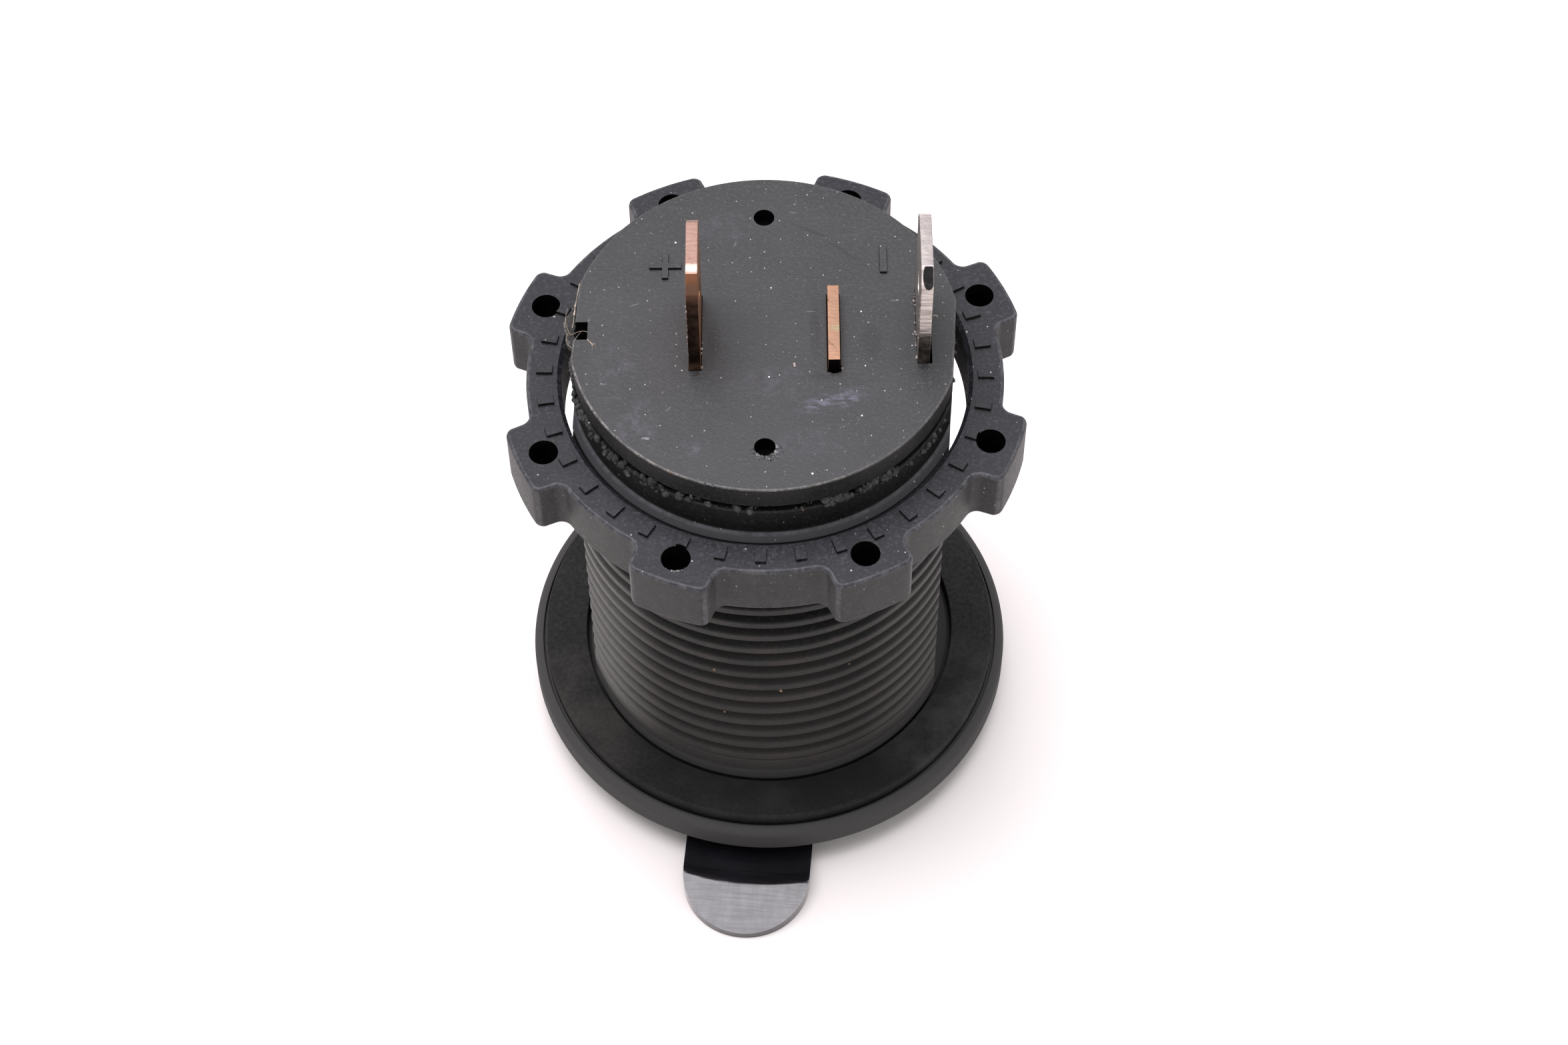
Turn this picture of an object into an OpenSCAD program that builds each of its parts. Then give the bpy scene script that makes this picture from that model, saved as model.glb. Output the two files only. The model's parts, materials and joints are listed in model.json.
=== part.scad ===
// Panel-mounted 12 volt accessory socket with a hinged dust cap and a lobed ring nut.
// The socket stands on its closed cap with the terminals up.
// Origin: centre of the panel seat, on the rear face of the gasket.
// +Z points along the barrel to the terminals, -Y points to the finger tab of the cap.
// Radial sizes are built up from the bore outwards, so that everything follows it.

/* [Contact sleeve] */
// Bore of the metal sleeve that takes the plug
bore_d = 21.0; // [20.9:0.05:21.2]
// Thickness of the sleeve's sheet metal
sleeve_t = 0.6; // [0.4:0.05:0.7]
// Gap between the sleeve and the plastic around it
sleeve_gap = 0.05; // [0.02:0.01:0.15]
// Thickness of the plastic lip in front of the sleeve
lip_t = 1.0; // [0.6:0.1:1.6]
// How far the plastic lip stands back from the bore
mouth_step = 0.25; // [0.15:0.05:0.5]
// Width of the lead-in chamfer at the mouth
mouth_chamfer = 0.5; // [0.2:0.1:0.8]
// Length of the thinned lead-in at the front of the sleeve
lead_in_len = 2.0; // [1:0.1:2.1]
// Depth of that lead-in
lead_in_depth = 0.25; // [0.1:0.05:0.3]
// Number of spring tongues cut in the sleeve
tongue_count = 3; // [2:1:4]
// Width of a spring tongue
tongue_w = 3.6; // [2:0.1:5]
// Length of a spring tongue
tongue_len = 9.0; // [5:0.5:14]
// Width of the slot cut round a spring tongue
tongue_slot = 0.6; // [0.4:0.1:1]
// Distance from the front edge of the sleeve to the tongue slots
tongue_inset = 8.0; // [4:0.5:14]

/* [Barrel] */
// Wall of the barrel, from its bore to the crests of the thread
barrel_wall = 2.75; // [2.2:0.05:3.3]
// Depth of a thread groove
thread_depth = 0.65; // [0.4:0.05:0.8]
// Distance from one thread crest to the next
pitch = 1.65; // [1.25:0.05:2.5]
// Depth of the two flats moulded along the thread, below its crests
flat_depth = 1.05; // [0.5:0.05:1.2]
// Turn of the two flats against the cap's hinge
flat_turn = 1.6; // [0:0.1:6]
// Length of the barrel behind the panel seat
barrel_len = 34.45; // [30:0.05:44]
// Length of smooth barrel between the panel seat and the thread
plain_len = 2.6; // [1:0.1:6]
// Depth of the relief at the foot of the barrel, under the gasket
relief_depth = 0.2; // [0.1:0.05:0.4]
// How far the relief reaches past the gasket
relief_past = 0.1; // [0.05:0.05:0.4]
// How far the smooth neck behind the thread lies below the crests
neck_step = 0.6; // [0.4:0.05:0.8]
// Length of the smooth neck
neck_len = 2.35; // [1:0.05:4]
// Length of the lead-in cone between the neck and the thread
lead_len = 0.6; // [0.3:0.05:1.2]

/* [Flange and gasket] */
// Width of the flange outside the thread
flange_w = 4.25; // [3.6:0.05:6]
// Thickness of the flange at its rim
flange_t = 2.4; // [1.8:0.1:4]
// Radius of the rear edge of the flange
flange_edge_r = 0.6; // [0.2:0.05:0.8]
// Radius of the front edge of the flange
flange_front_r = 0.35; // [0.1:0.05:0.6]
// Width of the flange's rim outside the gasket, with the open groove
rim_w = 0.95; // [0.8:0.05:1.5]
// Width of the open groove between the gasket and the rim of the flange
gasket_groove = 0.25; // [0.1:0.05:0.6]
// Depth of the shallow recess that locates the gasket
gasket_seat_depth = 0.4; // [0.2:0.05:0.8]
// Thickness of the gasket
gasket_t = 1.2; // [0.9:0.1:2]
// Gap between the gasket's hole and the thread crests
gasket_gap = 0.12; // [0.05:0.01:0.3]
// Radius of the gasket's outer rear edge
gasket_edge_r = 0.25; // [0.1:0.05:0.4]

/* [Terminals] */
// Turn of the rear cover and terminals against the cap's hinge
terminal_turn = 5.3; // [0:0.1:12]
// Width of a push-on blade
blade_w = 6.3; // [4.8:0.1:6.6]
// Thickness of a blade
blade_t = 0.8; // [0.5:0.1:1]
// Length of a blade behind the rear cover
blade_len = 9.1; // [7.5:0.1:11]
// Size of the bevel at each corner of a blade's end
blade_bevel = 1.0; // [0.5:0.1:1.4]
// Diameter of the detent hole in a blade
detent_d = 1.7; // [1.2:0.1:2]
// Distance from the detent hole to the blade's end
detent_from_end = 4.4; // [3.5:0.1:5.5]
// Distance from the socket's axis to the middle of the positive blade and of the stub
pos_blade_x = 4.66; // [4:0.1:6]
// Sideways shift of the positive bracket
pos_blade_y = -0.25; // [-0.5:0.05:0.5]
// Height of the cut-off stub behind the rear cover
stub_len = 1.1; // [0.6:0.1:2]
// Diameter of the domed contact in the middle of the bracket
dome_d = 4.6; // [3:0.1:5.4]
// Height of the domed contact
dome_h = 0.8; // [0.4:0.1:0.9]
// How far the negative blade stands in from the sleeve's outer face
neg_blade_inset = 0.05; // [0:0.05:0.2]
// Sideways shift of the negative blade
neg_blade_y = 0.2; // [-0.5:0.05:0.5]
// Length of the negative blade's root along the sleeve
neg_root_len = 4.0; // [2:0.5:6]

/* [Rear cover] */
// How far the cover's rim lies inside the neck of the barrel
cover_step = 0.05; // [0.05:0.05:0.4]
// Thickness of the rear cover's rim
cover_t = 1.8; // [1.4:0.1:3]
// Radius of the cover's rear edge
cover_edge_r = 0.2; // [0.1:0.05:0.5]
// Height of the weld groove under the cover's rim
weld_gap = 0.65; // [0.2:0.05:0.8]
// Depth of the weld groove
weld_inset = 0.45; // [0.2:0.05:0.6]
// Depth of the cover's spigot inside the barrel
spigot_len = 2.45; // [1.5:0.05:4]
// Gap round the spigot
spigot_gap = 0.1; // [0.05:0.05:0.3]
// Depth of the pocket for the positive bracket in the spigot's end
pocket_depth = 1.8; // [1.7:0.1:2.4]
// Gap round a blade in its slot
slot_gap = 0.15; // [0.1:0.05:0.3]
// Extra length of the stub's slot at its open end
stub_slot_extra = 0.7; // [0:0.1:1.2]
// Diameter of the two round pits in the cover
pit_d = 1.45; // [1:0.05:2]
// Depth of the two round pits
pit_depth = 1.2; // [0.5:0.1:1.8]
// Distance from the cover's rim to the middle of a round pit
pit_from_rim = 3.5; // [2.5:0.1:5]
// How far the small notch reaches in from the cover's flat side
notch_w = 0.9; // [0.5:0.05:1.1]
// Length of the small notch, along that side
notch_len = 1.5; // [1:0.1:2.5]

/* [Ring nut] */
// Gap between the nut's bore and the thread crests
nut_gap = 0.12; // [0.1:0.01:0.2]
// Wall of the nut between its lugs
nut_wall = 2.43; // [2:0.01:3]
// Thickness of the nut
nut_t = 4.5; // [3:0.1:6]
// Distance from the nut to the end of the barrel, as it is left on the thread
nut_from_end = 2.4; // [2:0.05:25]
// Turn of the nut against the cap's hinge
nut_turn = 29; // [0:1:44]
// Chamfer at both ends of the nut's bore
nut_chamfer = 0.3; // [0.1:0.05:0.5]
// Number of lugs
lug_count = 8; // [4:1:8]
// Width of a lug
lug_w = 5.7; // [4.5:0.1:7]
// How far the lugs reach past the flange's rim
lug_reach = 0.2; // [0:0.05:0.8]
// Radius of a lug's outer corners
lug_corner_r = 0.7; // [0.3:0.05:1]
// Radius of the hollow between a lug and the ring
lug_root_r = 0.8; // [0.4:0.05:1.2]
// Diameter of the hole in a lug
lug_hole_d = 2.0; // [1.5:0.1:2.4]
// Distance from a lug's tip to the middle of its hole
lug_hole_inset = 1.95; // [1.6:0.05:2.2]
// Number of raised index pads
pad_count = 36; // [12:4:36]
// Width of an index pad
pad_w = 0.72; // [0.4:0.02:1]
// Length of an index pad along the radius
pad_len = 1.1; // [0.6:0.05:1.2]
// Height of an index pad
pad_h = 0.25; // [0.1:0.05:0.4]
// Distance from the nut's bore to an index pad
pad_inset = 0.62; // [0.5:0.02:0.8]

/* [Dust cap] */
// How far the closed lid's edge lies inside the flange's rim
lid_inset = 1.25; // [0.8:0.05:2]
// Thickness of the lid
lid_t = 2.35; // [2.2:0.05:3.5]
// Gap between the closed lid and the flange
lid_gap = 0.15; // [0.1:0.05:0.4]
// Radius of the lid's outer edge
lid_edge_r = 0.9; // [0.4:0.1:1.2]
// Radius of the lid's edge towards the flange
lid_rim_r = 0.3; // [0.1:0.05:0.5]
// Gap between the plug ring inside the cap and the bore
plug_gap = 0.6; // [0.5:0.05:0.8]
// Wall of the plug ring
plug_wall = 1.4; // [1:0.1:2.4]
// Height of the plug ring
plug_h = 3.0; // [2:0.1:3.1]
// Chamfer at the end of the plug ring
plug_chamfer = 0.5; // [0.2:0.1:0.8]
// Width of the finger tab
tab_w = 9.5; // [7:0.1:12]
// Thickness of the finger tab
tab_t = 1.5; // [1.2:0.1:2]
// How far the finger tab reaches past the lid
tab_len = 7.4; // [5:0.1:10]
// How far the level part of the tab reaches past the lid
tab_level = 3.5; // [2:0.1:4.5]
// Thickness of the finger tab at its tip, to which its back slopes down
tab_tip_t = 0.65; // [0.5:0.05:1.1]

/* [Hinge] */
// Diameter of the hinge pin
pin_d = 1.5; // [1.2:0.1:1.6]
// Gap round the pin in the ears, which hold it tight
pin_fit = 0.01; // [0.01:0.01:0.03]
// Running clearance of the lid's knuckle on the pin, all round
pin_clear = 0.05; // [0.02:0.01:0.1]
// Diameter of the lid's knuckle
knuckle_d = 3.0; // [2.8:0.1:3.2]
// Width of the lid's knuckle
knuckle_w = 5.4; // [4:0.1:7]
// Width of each ear on the flange
ear_w = 2.2; // [1.5:0.1:3]
// How much an ear's eye is smaller than the knuckle, all round
ear_step = 0.05; // [0:0.05:0.2]
// Gap between the knuckle and an ear
ear_gap = 0.3; // [0.2:0.05:0.5]
// Gap between the knuckle and the rim of the flange
rim_gap = 0.4; // [0.35:0.05:0.8]
// How far the pin's ends lie inside the ears
pin_inset = 0.1; // [0:0.05:0.4]

/* [Hidden] */
$fn = 96;
small_fn = 48;
// A small overlap that keeps joins clean
e = 0.01;
// How far a cut runs past the surface that it opens
past = 1;
// How far an ear, the hinge arm and the tab reach into the disc that carries them
arm_root = 3;
// How far a lug reaches into the ring of the nut
lug_root = 1.5;
// Shares of the pitch at which a ridge rises from the root, meets the crest and leaves it
ridge_foot = 0.14;
ridge_rise = 0.39;
ridge_fall = 0.75;
// Share of the pitch in which the last crest rises before the lead-in cone
last_rise = 0.1;

bore_r = bore_d / 2;
sleeve_r = bore_r + sleeve_t;
housing_bore_r = sleeve_r + sleeve_gap;
mouth_r = bore_r + mouth_step;
thread_r = housing_bore_r + barrel_wall;
root_r = thread_r - thread_depth;
neck_r = thread_r - neck_step;
flat_x = thread_r - flat_depth;
flange_r = thread_r + flange_w;
gasket_r = flange_r - rim_w;
flange_back = gasket_seat_depth - gasket_t;
flange_front = flange_back - flange_t;
sleeve_front = flange_front + lip_t;
sleeve_back = barrel_len - spigot_len;
cover_under = barrel_len + weld_gap;
cover_back = cover_under + cover_t;
cover_r = neck_r - cover_step;
blade_end = cover_back + blade_len;
neg_blade_x = sleeve_r - neg_blade_inset - blade_t / 2;
bend_in_r = slot_gap;
bend_out_r = bend_in_r + blade_t;
thread_top = barrel_len - neck_len - lead_len;
thread_n = floor((thread_top - last_rise * pitch - plain_len) / pitch);
nut_bore_r = thread_r + nut_gap;
nut_r = nut_bore_r + nut_wall;
nut_height = barrel_len - nut_from_end - nut_t;
lug_r = flange_r + lug_reach;
pad_r = nut_bore_r + pad_inset;
lid_back = flange_front - lid_gap;
lid_face = lid_back - lid_t;
lid_r = flange_r - lid_inset;
plug_r = bore_r - plug_gap;
tab_reach = lid_r + tab_len;
knuckle_r = knuckle_d / 2;
hinge_z = lid_face + knuckle_r;
hinge_y = flange_r + sqrt(pow(knuckle_r + rim_gap, 2) - pow(flange_front - hinge_z, 2));
ear_r = knuckle_r - ear_step;
ear_in = knuckle_w / 2 + ear_gap;
ear_out = ear_in + ear_w;

plastic = [0.17, 0.17, 0.18];
plastic_light = [0.26, 0.26, 0.28];
gloss = [0.07, 0.07, 0.08];
rubber = [0.12, 0.12, 0.12];
copper = [0.62, 0.42, 0.30];
tin = [0.66, 0.62, 0.60];
steel = [0.70, 0.70, 0.70];

// The waste outside one rounded corner; sx and sy point into the shape
module corner_waste(x, y, sx, sy, r) {
    translate([x, y]) scale([sx, sy]) difference() {
        translate([-past, -past]) square(r + past);
        translate([r, r]) circle(r, $fn = small_fn);
    }
}

// A rectangle from one corner to the other, with a radius for each corner:
// low x low y, high x low y, high x high y, low x high y
module soft_rect(x0, y0, x1, y1, r) {
    difference() {
        translate([x0, y0]) square([x1 - x0, y1 - y0]);
        if (r[0] > 0) corner_waste(x0, y0, 1, 1, r[0]);
        if (r[1] > 0) corner_waste(x1, y0, -1, 1, r[1]);
        if (r[2] > 0) corner_waste(x1, y1, -1, -1, r[2]);
        if (r[3] > 0) corner_waste(x0, y1, 1, -1, r[3]);
    }
}

// Extrudes a YZ outline along X from x0 to x1
module along_x(x0, x1) {
    translate([x0, 0, 0]) rotate([90, 0, 90]) linear_extrude(x1 - x0) children();
}

// Half section of the barrel: relief, plain band, ridges, lead-in cone and neck
function ridge(z) = [
    [root_r, z + pitch * ridge_foot], [thread_r, z + pitch * ridge_rise],
    [thread_r, z + pitch * ridge_fall], [root_r, z + pitch]
];
function barrel_section() = concat(
    [[housing_bore_r, sleeve_front], [thread_r - relief_depth, sleeve_front]],
    [[thread_r - relief_depth, relief_past], [thread_r, relief_past], [thread_r, plain_len]],
    [for (i = [0 : thread_n - 1]) each ridge(plain_len + i * pitch)],
    [[root_r, thread_top - pitch * last_rise], [thread_r, thread_top]],
    [[neck_r, thread_top + lead_len], [neck_r, barrel_len], [housing_bore_r, barrel_len]]
);

// The space between the two flats, which the barrel and the rear cover share
module between_flats() {
    rotate([0, 0, flat_turn]) translate([-flat_x, -flange_r, flange_front])
        cube([2 * flat_x, 2 * flange_r, cover_back - flange_front + past]);
}

module barrel() {
    intersection() {
        rotate_extrude() polygon(barrel_section());
        between_flats();
    }
}

// Side outline of a hinge ear in the YZ plane
module ear_outline() {
    translate([hinge_y, hinge_z]) circle(ear_r, $fn = small_fn);
    translate([hinge_y - ear_r, hinge_z]) square([2 * ear_r, flange_front - hinge_z + e]);
    soft_rect(flange_r - arm_root, flange_front, hinge_y + ear_r, flange_back,
        [0, 0, flange_edge_r * 2, 0]);
}

module hinge_ears() {
    for (s = [-1, 1]) difference() {
        along_x(s > 0 ? ear_in : -ear_out, s > 0 ? ear_out : -ear_in) ear_outline();
        translate([s * (ear_in - past), hinge_y, hinge_z]) rotate([0, s * 90, 0])
            cylinder(h = ear_w + 2 * past, r = pin_d / 2 + pin_fit, $fn = small_fn);
    }
}

module flange() {
    difference() {
        union() {
            rotate_extrude() soft_rect(mouth_r, flange_front, flange_r, flange_back,
                [0, flange_front_r, flange_edge_r, 0]);
            hinge_ears();
        }
        // Seat of the gasket
        translate([0, 0, flange_back - gasket_seat_depth])
            cylinder(h = gasket_seat_depth + past, r = gasket_r + gasket_groove);
        // Lead-in at the mouth
        rotate_extrude() translate([mouth_r, flange_front]) circle(mouth_chamfer, $fn = 4);
        // Room for the sleeve behind the lip
        translate([0, 0, sleeve_front]) cylinder(h = flange_t, r = housing_bore_r);
    }
}

module housing() {
    color(plastic) difference() {
        union() {
            barrel();
            flange();
        }
        // Keyway for the root of the negative blade
        rotate([0, 0, terminal_turn])
            translate([0, neg_blade_y - blade_w / 2 - slot_gap, sleeve_back - neg_root_len - slot_gap])
            cube([neg_blade_x + blade_t / 2 + slot_gap, blade_w + 2 * slot_gap, barrel_len]);
    }
}

module panel_gasket() {
    color(rubber) rotate_extrude()
        soft_rect(thread_r + gasket_gap, -gasket_t, gasket_r, 0, [0, 0, gasket_edge_r, 0]);
}

// Slot for a blade through the rear cover; extra is its open length beyond the blade
module blade_slot(x, y, extra) {
    translate([x - blade_t / 2 - slot_gap, y - blade_w / 2 - slot_gap - extra, sleeve_back - past])
        cube([blade_t + 2 * slot_gap, blade_w + 2 * slot_gap + extra, cover_back - sleeve_back + 2 * past]);
}

module rear_cover() {
    pocket_x = pos_blade_x + blade_t / 2 + slot_gap;
    pocket_y = blade_w / 2 + slot_gap;
    color(plastic_light) difference() {
        intersection() {
            union() {
                rotate_extrude()
                    soft_rect(0, cover_under, cover_r, cover_back, [0, 0, cover_edge_r, 0]);
                translate([0, 0, barrel_len]) cylinder(h = weld_gap + e, r = cover_r - weld_inset);
                translate([0, 0, sleeve_back])
                    cylinder(h = spigot_len + e, r = housing_bore_r - spigot_gap);
            }
            between_flats();
        }
        rotate([0, 0, terminal_turn]) cover_openings(pocket_x, pocket_y);
    }
}

// Blade slots, bracket pocket, pits and notch, in the turned frame of the terminals
module cover_openings(pocket_x, pocket_y) {
    blade_slot(-pos_blade_x, pos_blade_y, 0);
    blade_slot(pos_blade_x, pos_blade_y, stub_slot_extra);
    blade_slot(neg_blade_x, neg_blade_y, 0);
    translate([-pocket_x, pos_blade_y - pocket_y, sleeve_back - past])
        cube([2 * pocket_x, 2 * pocket_y, pocket_depth + past]);
    for (s = [-1, 1]) translate([0, s * (cover_r - pit_from_rim), cover_back - pit_depth])
        cylinder(h = pit_depth + past, d = pit_d, $fn = small_fn);
    translate([-cover_r - past, -notch_len / 2, cover_under - past])
        cube([cover_r + past - flat_x + notch_w, notch_len, cover_t + 2 * past]);
}

// Flat outline of a blade: width along X, end bevelled, detent hole near the end
module blade_outline(low, high) {
    half = blade_w / 2;
    difference() {
        polygon([
            [-half, low], [half, low], [half, high - blade_bevel],
            [half - blade_bevel, high], [blade_bevel - half, high], [-half, high - blade_bevel]
        ]);
        translate([0, high - detent_from_end]) circle(d = detent_d, $fn = small_fn);
    }
}

// A blade standing at x, with its width along Y
module blade(x, y, low, high) {
    along_x(x - blade_t / 2, x + blade_t / 2) translate([y, 0]) blade_outline(low, high);
}

// The U-shaped slot that frees one spring tongue
module tongue_slots() {
    z0 = sleeve_front + tongue_inset;
    outer = tongue_w + 2 * tongue_slot;
    difference() {
        translate([bore_r - past, -outer / 2, z0])
            cube([sleeve_t + 2 * past, outer, tongue_len]);
        translate([bore_r - 2 * past, -tongue_w / 2, z0 + tongue_slot])
            cube([sleeve_t + 4 * past, tongue_w, tongue_len]);
    }
}

module contact_sleeve() {
    color(tin) rotate([0, 0, terminal_turn]) difference() {
        union() {
            translate([0, 0, sleeve_front]) cylinder(h = sleeve_back - sleeve_front, r = sleeve_r);
            blade(neg_blade_x, neg_blade_y, sleeve_back - neg_root_len, blade_end);
        }
        translate([0, 0, sleeve_front - past])
            cylinder(h = sleeve_back - sleeve_front + past, r = bore_r);
        translate([0, 0, sleeve_front])
            cylinder(h = lead_in_len, r1 = bore_r + lead_in_depth, r2 = bore_r);
        for (i = [0 : tongue_count - 1])
            rotate([0, 0, (i + 0.5) * 360 / tongue_count]) tongue_slots();
    }
}

// Radius of the sphere whose cap has the dome's diameter and height
dome_sphere_r = (pow(dome_d / 2, 2) + pow(dome_h, 2)) / (2 * dome_h);

// A strip bent to a U: one leg is the blade, the other is cut off as a stub
module positive_contact() {
    half = pos_blade_x + blade_t / 2;
    low = sleeve_back + pocket_depth - blade_t;
    high = cover_back + stub_len;
    color(copper) rotate([0, 0, terminal_turn]) {
        translate([0, pos_blade_y + blade_w / 2, 0]) rotate([90, 0, 0]) linear_extrude(blade_w)
            difference() {
                soft_rect(-half, low, half, high, [bend_out_r, bend_out_r, 0, 0]);
                soft_rect(blade_t - half, low + blade_t, half - blade_t, high + past,
                    [bend_in_r, bend_in_r, 0, 0]);
            }
        blade(-pos_blade_x, pos_blade_y, cover_back, blade_end);
        translate([0, pos_blade_y, low - dome_h]) intersection() {
            cylinder(h = dome_h + e, d = dome_d, $fn = small_fn);
            translate([0, 0, dome_sphere_r]) sphere(dome_sphere_r, $fn = small_fn);
        }
    }
}

// The circle of the hollow beside a lug touches both the lug's side and the ring
hollow_x = sqrt(pow(nut_r + lug_root_r, 2) - pow(lug_w / 2 + lug_root_r, 2));

// Plan of one lug, pointing along +X, with hollows at its root
module lug_plan() {
    half = lug_w / 2;
    intersection() {
        circle(lug_r);
        soft_rect(nut_r - lug_root, -half, lug_r + e, half, [0, lug_corner_r, lug_corner_r, 0]);
    }
    for (s = [-1, 1]) difference() {
        translate([nut_r - lug_root, s > 0 ? half - e : -half - lug_root_r])
            square([hollow_x - nut_r + lug_root, lug_root_r + e]);
        translate([hollow_x, s * (half + lug_root_r)]) circle(lug_root_r, $fn = small_fn);
    }
}

module ring_nut() {
    wide = nut_bore_r + 2 * nut_chamfer;
    color(plastic) rotate([0, 0, nut_turn]) translate([0, 0, nut_height]) difference() {
        union() {
            linear_extrude(nut_t) {
                circle(nut_r);
                for (i = [0 : lug_count - 1]) rotate(i * 360 / lug_count) lug_plan();
            }
            for (i = [0 : pad_count - 1]) rotate([0, 0, (i + 0.5) * 360 / pad_count])
                translate([pad_r, -pad_w / 2, nut_t - e]) cube([pad_len, pad_w, pad_h + e]);
        }
        translate([0, 0, -past]) cylinder(h = nut_t + 2 * past, r = nut_bore_r);
        translate([0, 0, -nut_chamfer]) cylinder(h = 2 * nut_chamfer, r1 = wide, r2 = nut_bore_r);
        translate([0, 0, nut_t - nut_chamfer])
            cylinder(h = 2 * nut_chamfer, r1 = nut_bore_r, r2 = wide);
        for (i = [0 : lug_count - 1]) rotate([0, 0, i * 360 / lug_count])
            translate([lug_r - lug_hole_inset, 0, -past])
            cylinder(h = nut_t + 2 * past, d = lug_hole_d, $fn = small_fn);
    }
}

module tab_plan() {
    end_r = tab_w / 2;
    translate([-end_r, end_r - tab_reach]) square([tab_w, tab_reach - end_r - lid_r + arm_root]);
    translate([0, end_r - tab_reach]) circle(end_r);
}

// The tab is level near the lid and slopes down to its tip beyond a round crease
module tab() {
    crease_r = lid_r + tab_level;
    tip_z = lid_face + tab_tip_t;
    slope = (tab_t - tab_tip_t) / (tab_reach - crease_r);
    difference() {
        translate([0, 0, lid_face]) linear_extrude(tab_t) tab_plan();
        rotate_extrude() polygon([
            [crease_r, lid_face + tab_t], [tab_reach + past, tip_z - slope * past],
            [tab_reach + past, lid_face + tab_t + past], [crease_r, lid_face + tab_t + past]
        ]);
    }
}

module dust_cap() {
    color(gloss) difference() {
        union() {
            rotate_extrude()
                soft_rect(0, lid_face, lid_r, lid_back, [0, lid_edge_r, lid_rim_r, 0]);
            // Plug ring
            rotate_extrude() difference() {
                translate([plug_r - plug_wall, lid_back - e]) square([plug_wall, plug_h + e]);
                translate([plug_r, lid_back + plug_h]) circle(plug_chamfer, $fn = 4);
            }
            tab();
            // Knuckle and its arm
            along_x(-knuckle_w / 2, knuckle_w / 2) {
                translate([hinge_y, hinge_z]) circle(knuckle_r, $fn = small_fn);
                translate([lid_r - arm_root, lid_face]) square([hinge_y - lid_r + arm_root, knuckle_r]);
            }
        }
        translate([-knuckle_w, hinge_y, hinge_z]) rotate([0, 90, 0])
            cylinder(h = 2 * knuckle_w, r = pin_d / 2 + pin_clear, $fn = small_fn);
    }
}

module hinge_pin() {
    color(steel) translate([pin_inset - ear_out, hinge_y, hinge_z]) rotate([0, 90, 0])
        cylinder(h = 2 * (ear_out - pin_inset), d = pin_d, $fn = small_fn);
}

housing();
rear_cover();
ring_nut();
panel_gasket();
contact_sleeve();
positive_contact();
dust_cap();
hinge_pin();
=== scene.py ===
# %% [markdown]
# # A 12 volt accessory socket, standing on its cap
# The socket is a black nylon barrel with a flange, a ring nut, two push-on blades and a glossy cap.
# The CAD model fixes every size, so this lesson only dresses it: it makes finer meshes for the parts
# that the camera sees, gives each one its finish, and lights the whole on a white table.
# The frame comes first, because every piece hangs on one of its moving bodies.

# %% Load the frame
import json
import math
import random
from contextlib import contextmanager

import bpy
from mathutils import Matrix, Vector


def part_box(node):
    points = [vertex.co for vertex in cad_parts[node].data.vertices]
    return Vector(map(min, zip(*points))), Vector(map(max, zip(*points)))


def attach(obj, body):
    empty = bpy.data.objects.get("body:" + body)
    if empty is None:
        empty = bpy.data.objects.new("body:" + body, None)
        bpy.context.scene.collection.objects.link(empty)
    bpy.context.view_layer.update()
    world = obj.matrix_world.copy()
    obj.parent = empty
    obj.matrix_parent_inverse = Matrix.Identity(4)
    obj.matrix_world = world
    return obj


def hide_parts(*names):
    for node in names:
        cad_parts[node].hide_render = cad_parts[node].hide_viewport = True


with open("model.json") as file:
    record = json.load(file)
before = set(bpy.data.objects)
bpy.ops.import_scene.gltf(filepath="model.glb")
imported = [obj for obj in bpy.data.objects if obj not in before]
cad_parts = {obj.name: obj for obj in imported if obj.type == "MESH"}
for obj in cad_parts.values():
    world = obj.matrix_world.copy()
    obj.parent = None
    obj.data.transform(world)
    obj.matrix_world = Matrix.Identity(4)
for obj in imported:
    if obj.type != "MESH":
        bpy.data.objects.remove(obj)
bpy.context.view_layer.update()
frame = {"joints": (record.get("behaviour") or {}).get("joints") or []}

# %% [markdown]
# ## Working in millimetres
# Blender's modelling tools are tuned for things about a metre in size: a merge or a bevel at a
# hundredth of a millimetre is close to their limits. A watchmaker would reach for a magnifier. Here
# each piece is modelled a thousand times too large, one unit for a millimetre, and shrunk when it is
# done. Most sizes are read from the frame, so the pieces follow the CAD model.

# %% Sizes from the frame
MM = 0.001


def box_mm(node):
    """Lowest and highest corner of a CAD node, in millimetres."""
    return [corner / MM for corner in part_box(node)]


housing_high, sleeve_high = box_mm("housing")[1], box_mm("contact_sleeve")[1]
cover_low, cover_high = box_mm("rear_cover")
nut_low, nut_high = box_mm("ring_nut")
gasket_low, gasket_high = box_mm("panel_gasket")
cap_low, cap_high = box_mm("dust_cap")
pin_low, pin_high = box_mm("hinge_pin")
hinge = next(joint for joint in frame["joints"] if joint["name"] == "cap_hinge")
HINGE_Y, HINGE_Z = hinge["pos_m"][1] / MM, hinge["pos_m"][2] / MM

FLANGE_R, BARREL_END = housing_high.x, housing_high.z
COVER_R, COVER_BACK = 13.25, cover_high.z
BLADE_W, BLADE_T, BLADE_END = 6.3, 0.8, sleeve_high.z
TERMINAL_TURN = math.radians(5.3)
FLAT_X, FLAT_TURN = 12.85, math.radians(1.6)
print(f"flange {2 * FLANGE_R:.1f} mm, barrel end {BARREL_END:.2f} mm, blades to {BLADE_END:.1f} mm")

# %% [markdown]
# ## A few hand tools
# By hand, each step would be a click: select, press Tab, run a tool. The helpers below do the same.
# Everything is deselected before each step, because an operator acts on all that is selected.

# %% Selecting, editing and joining
def only(obj):
    """Selects one object and nothing else."""
    bpy.ops.object.select_all(action="DESELECT")
    obj.select_set(True)
    bpy.context.view_layer.objects.active = obj
    return obj


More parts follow.
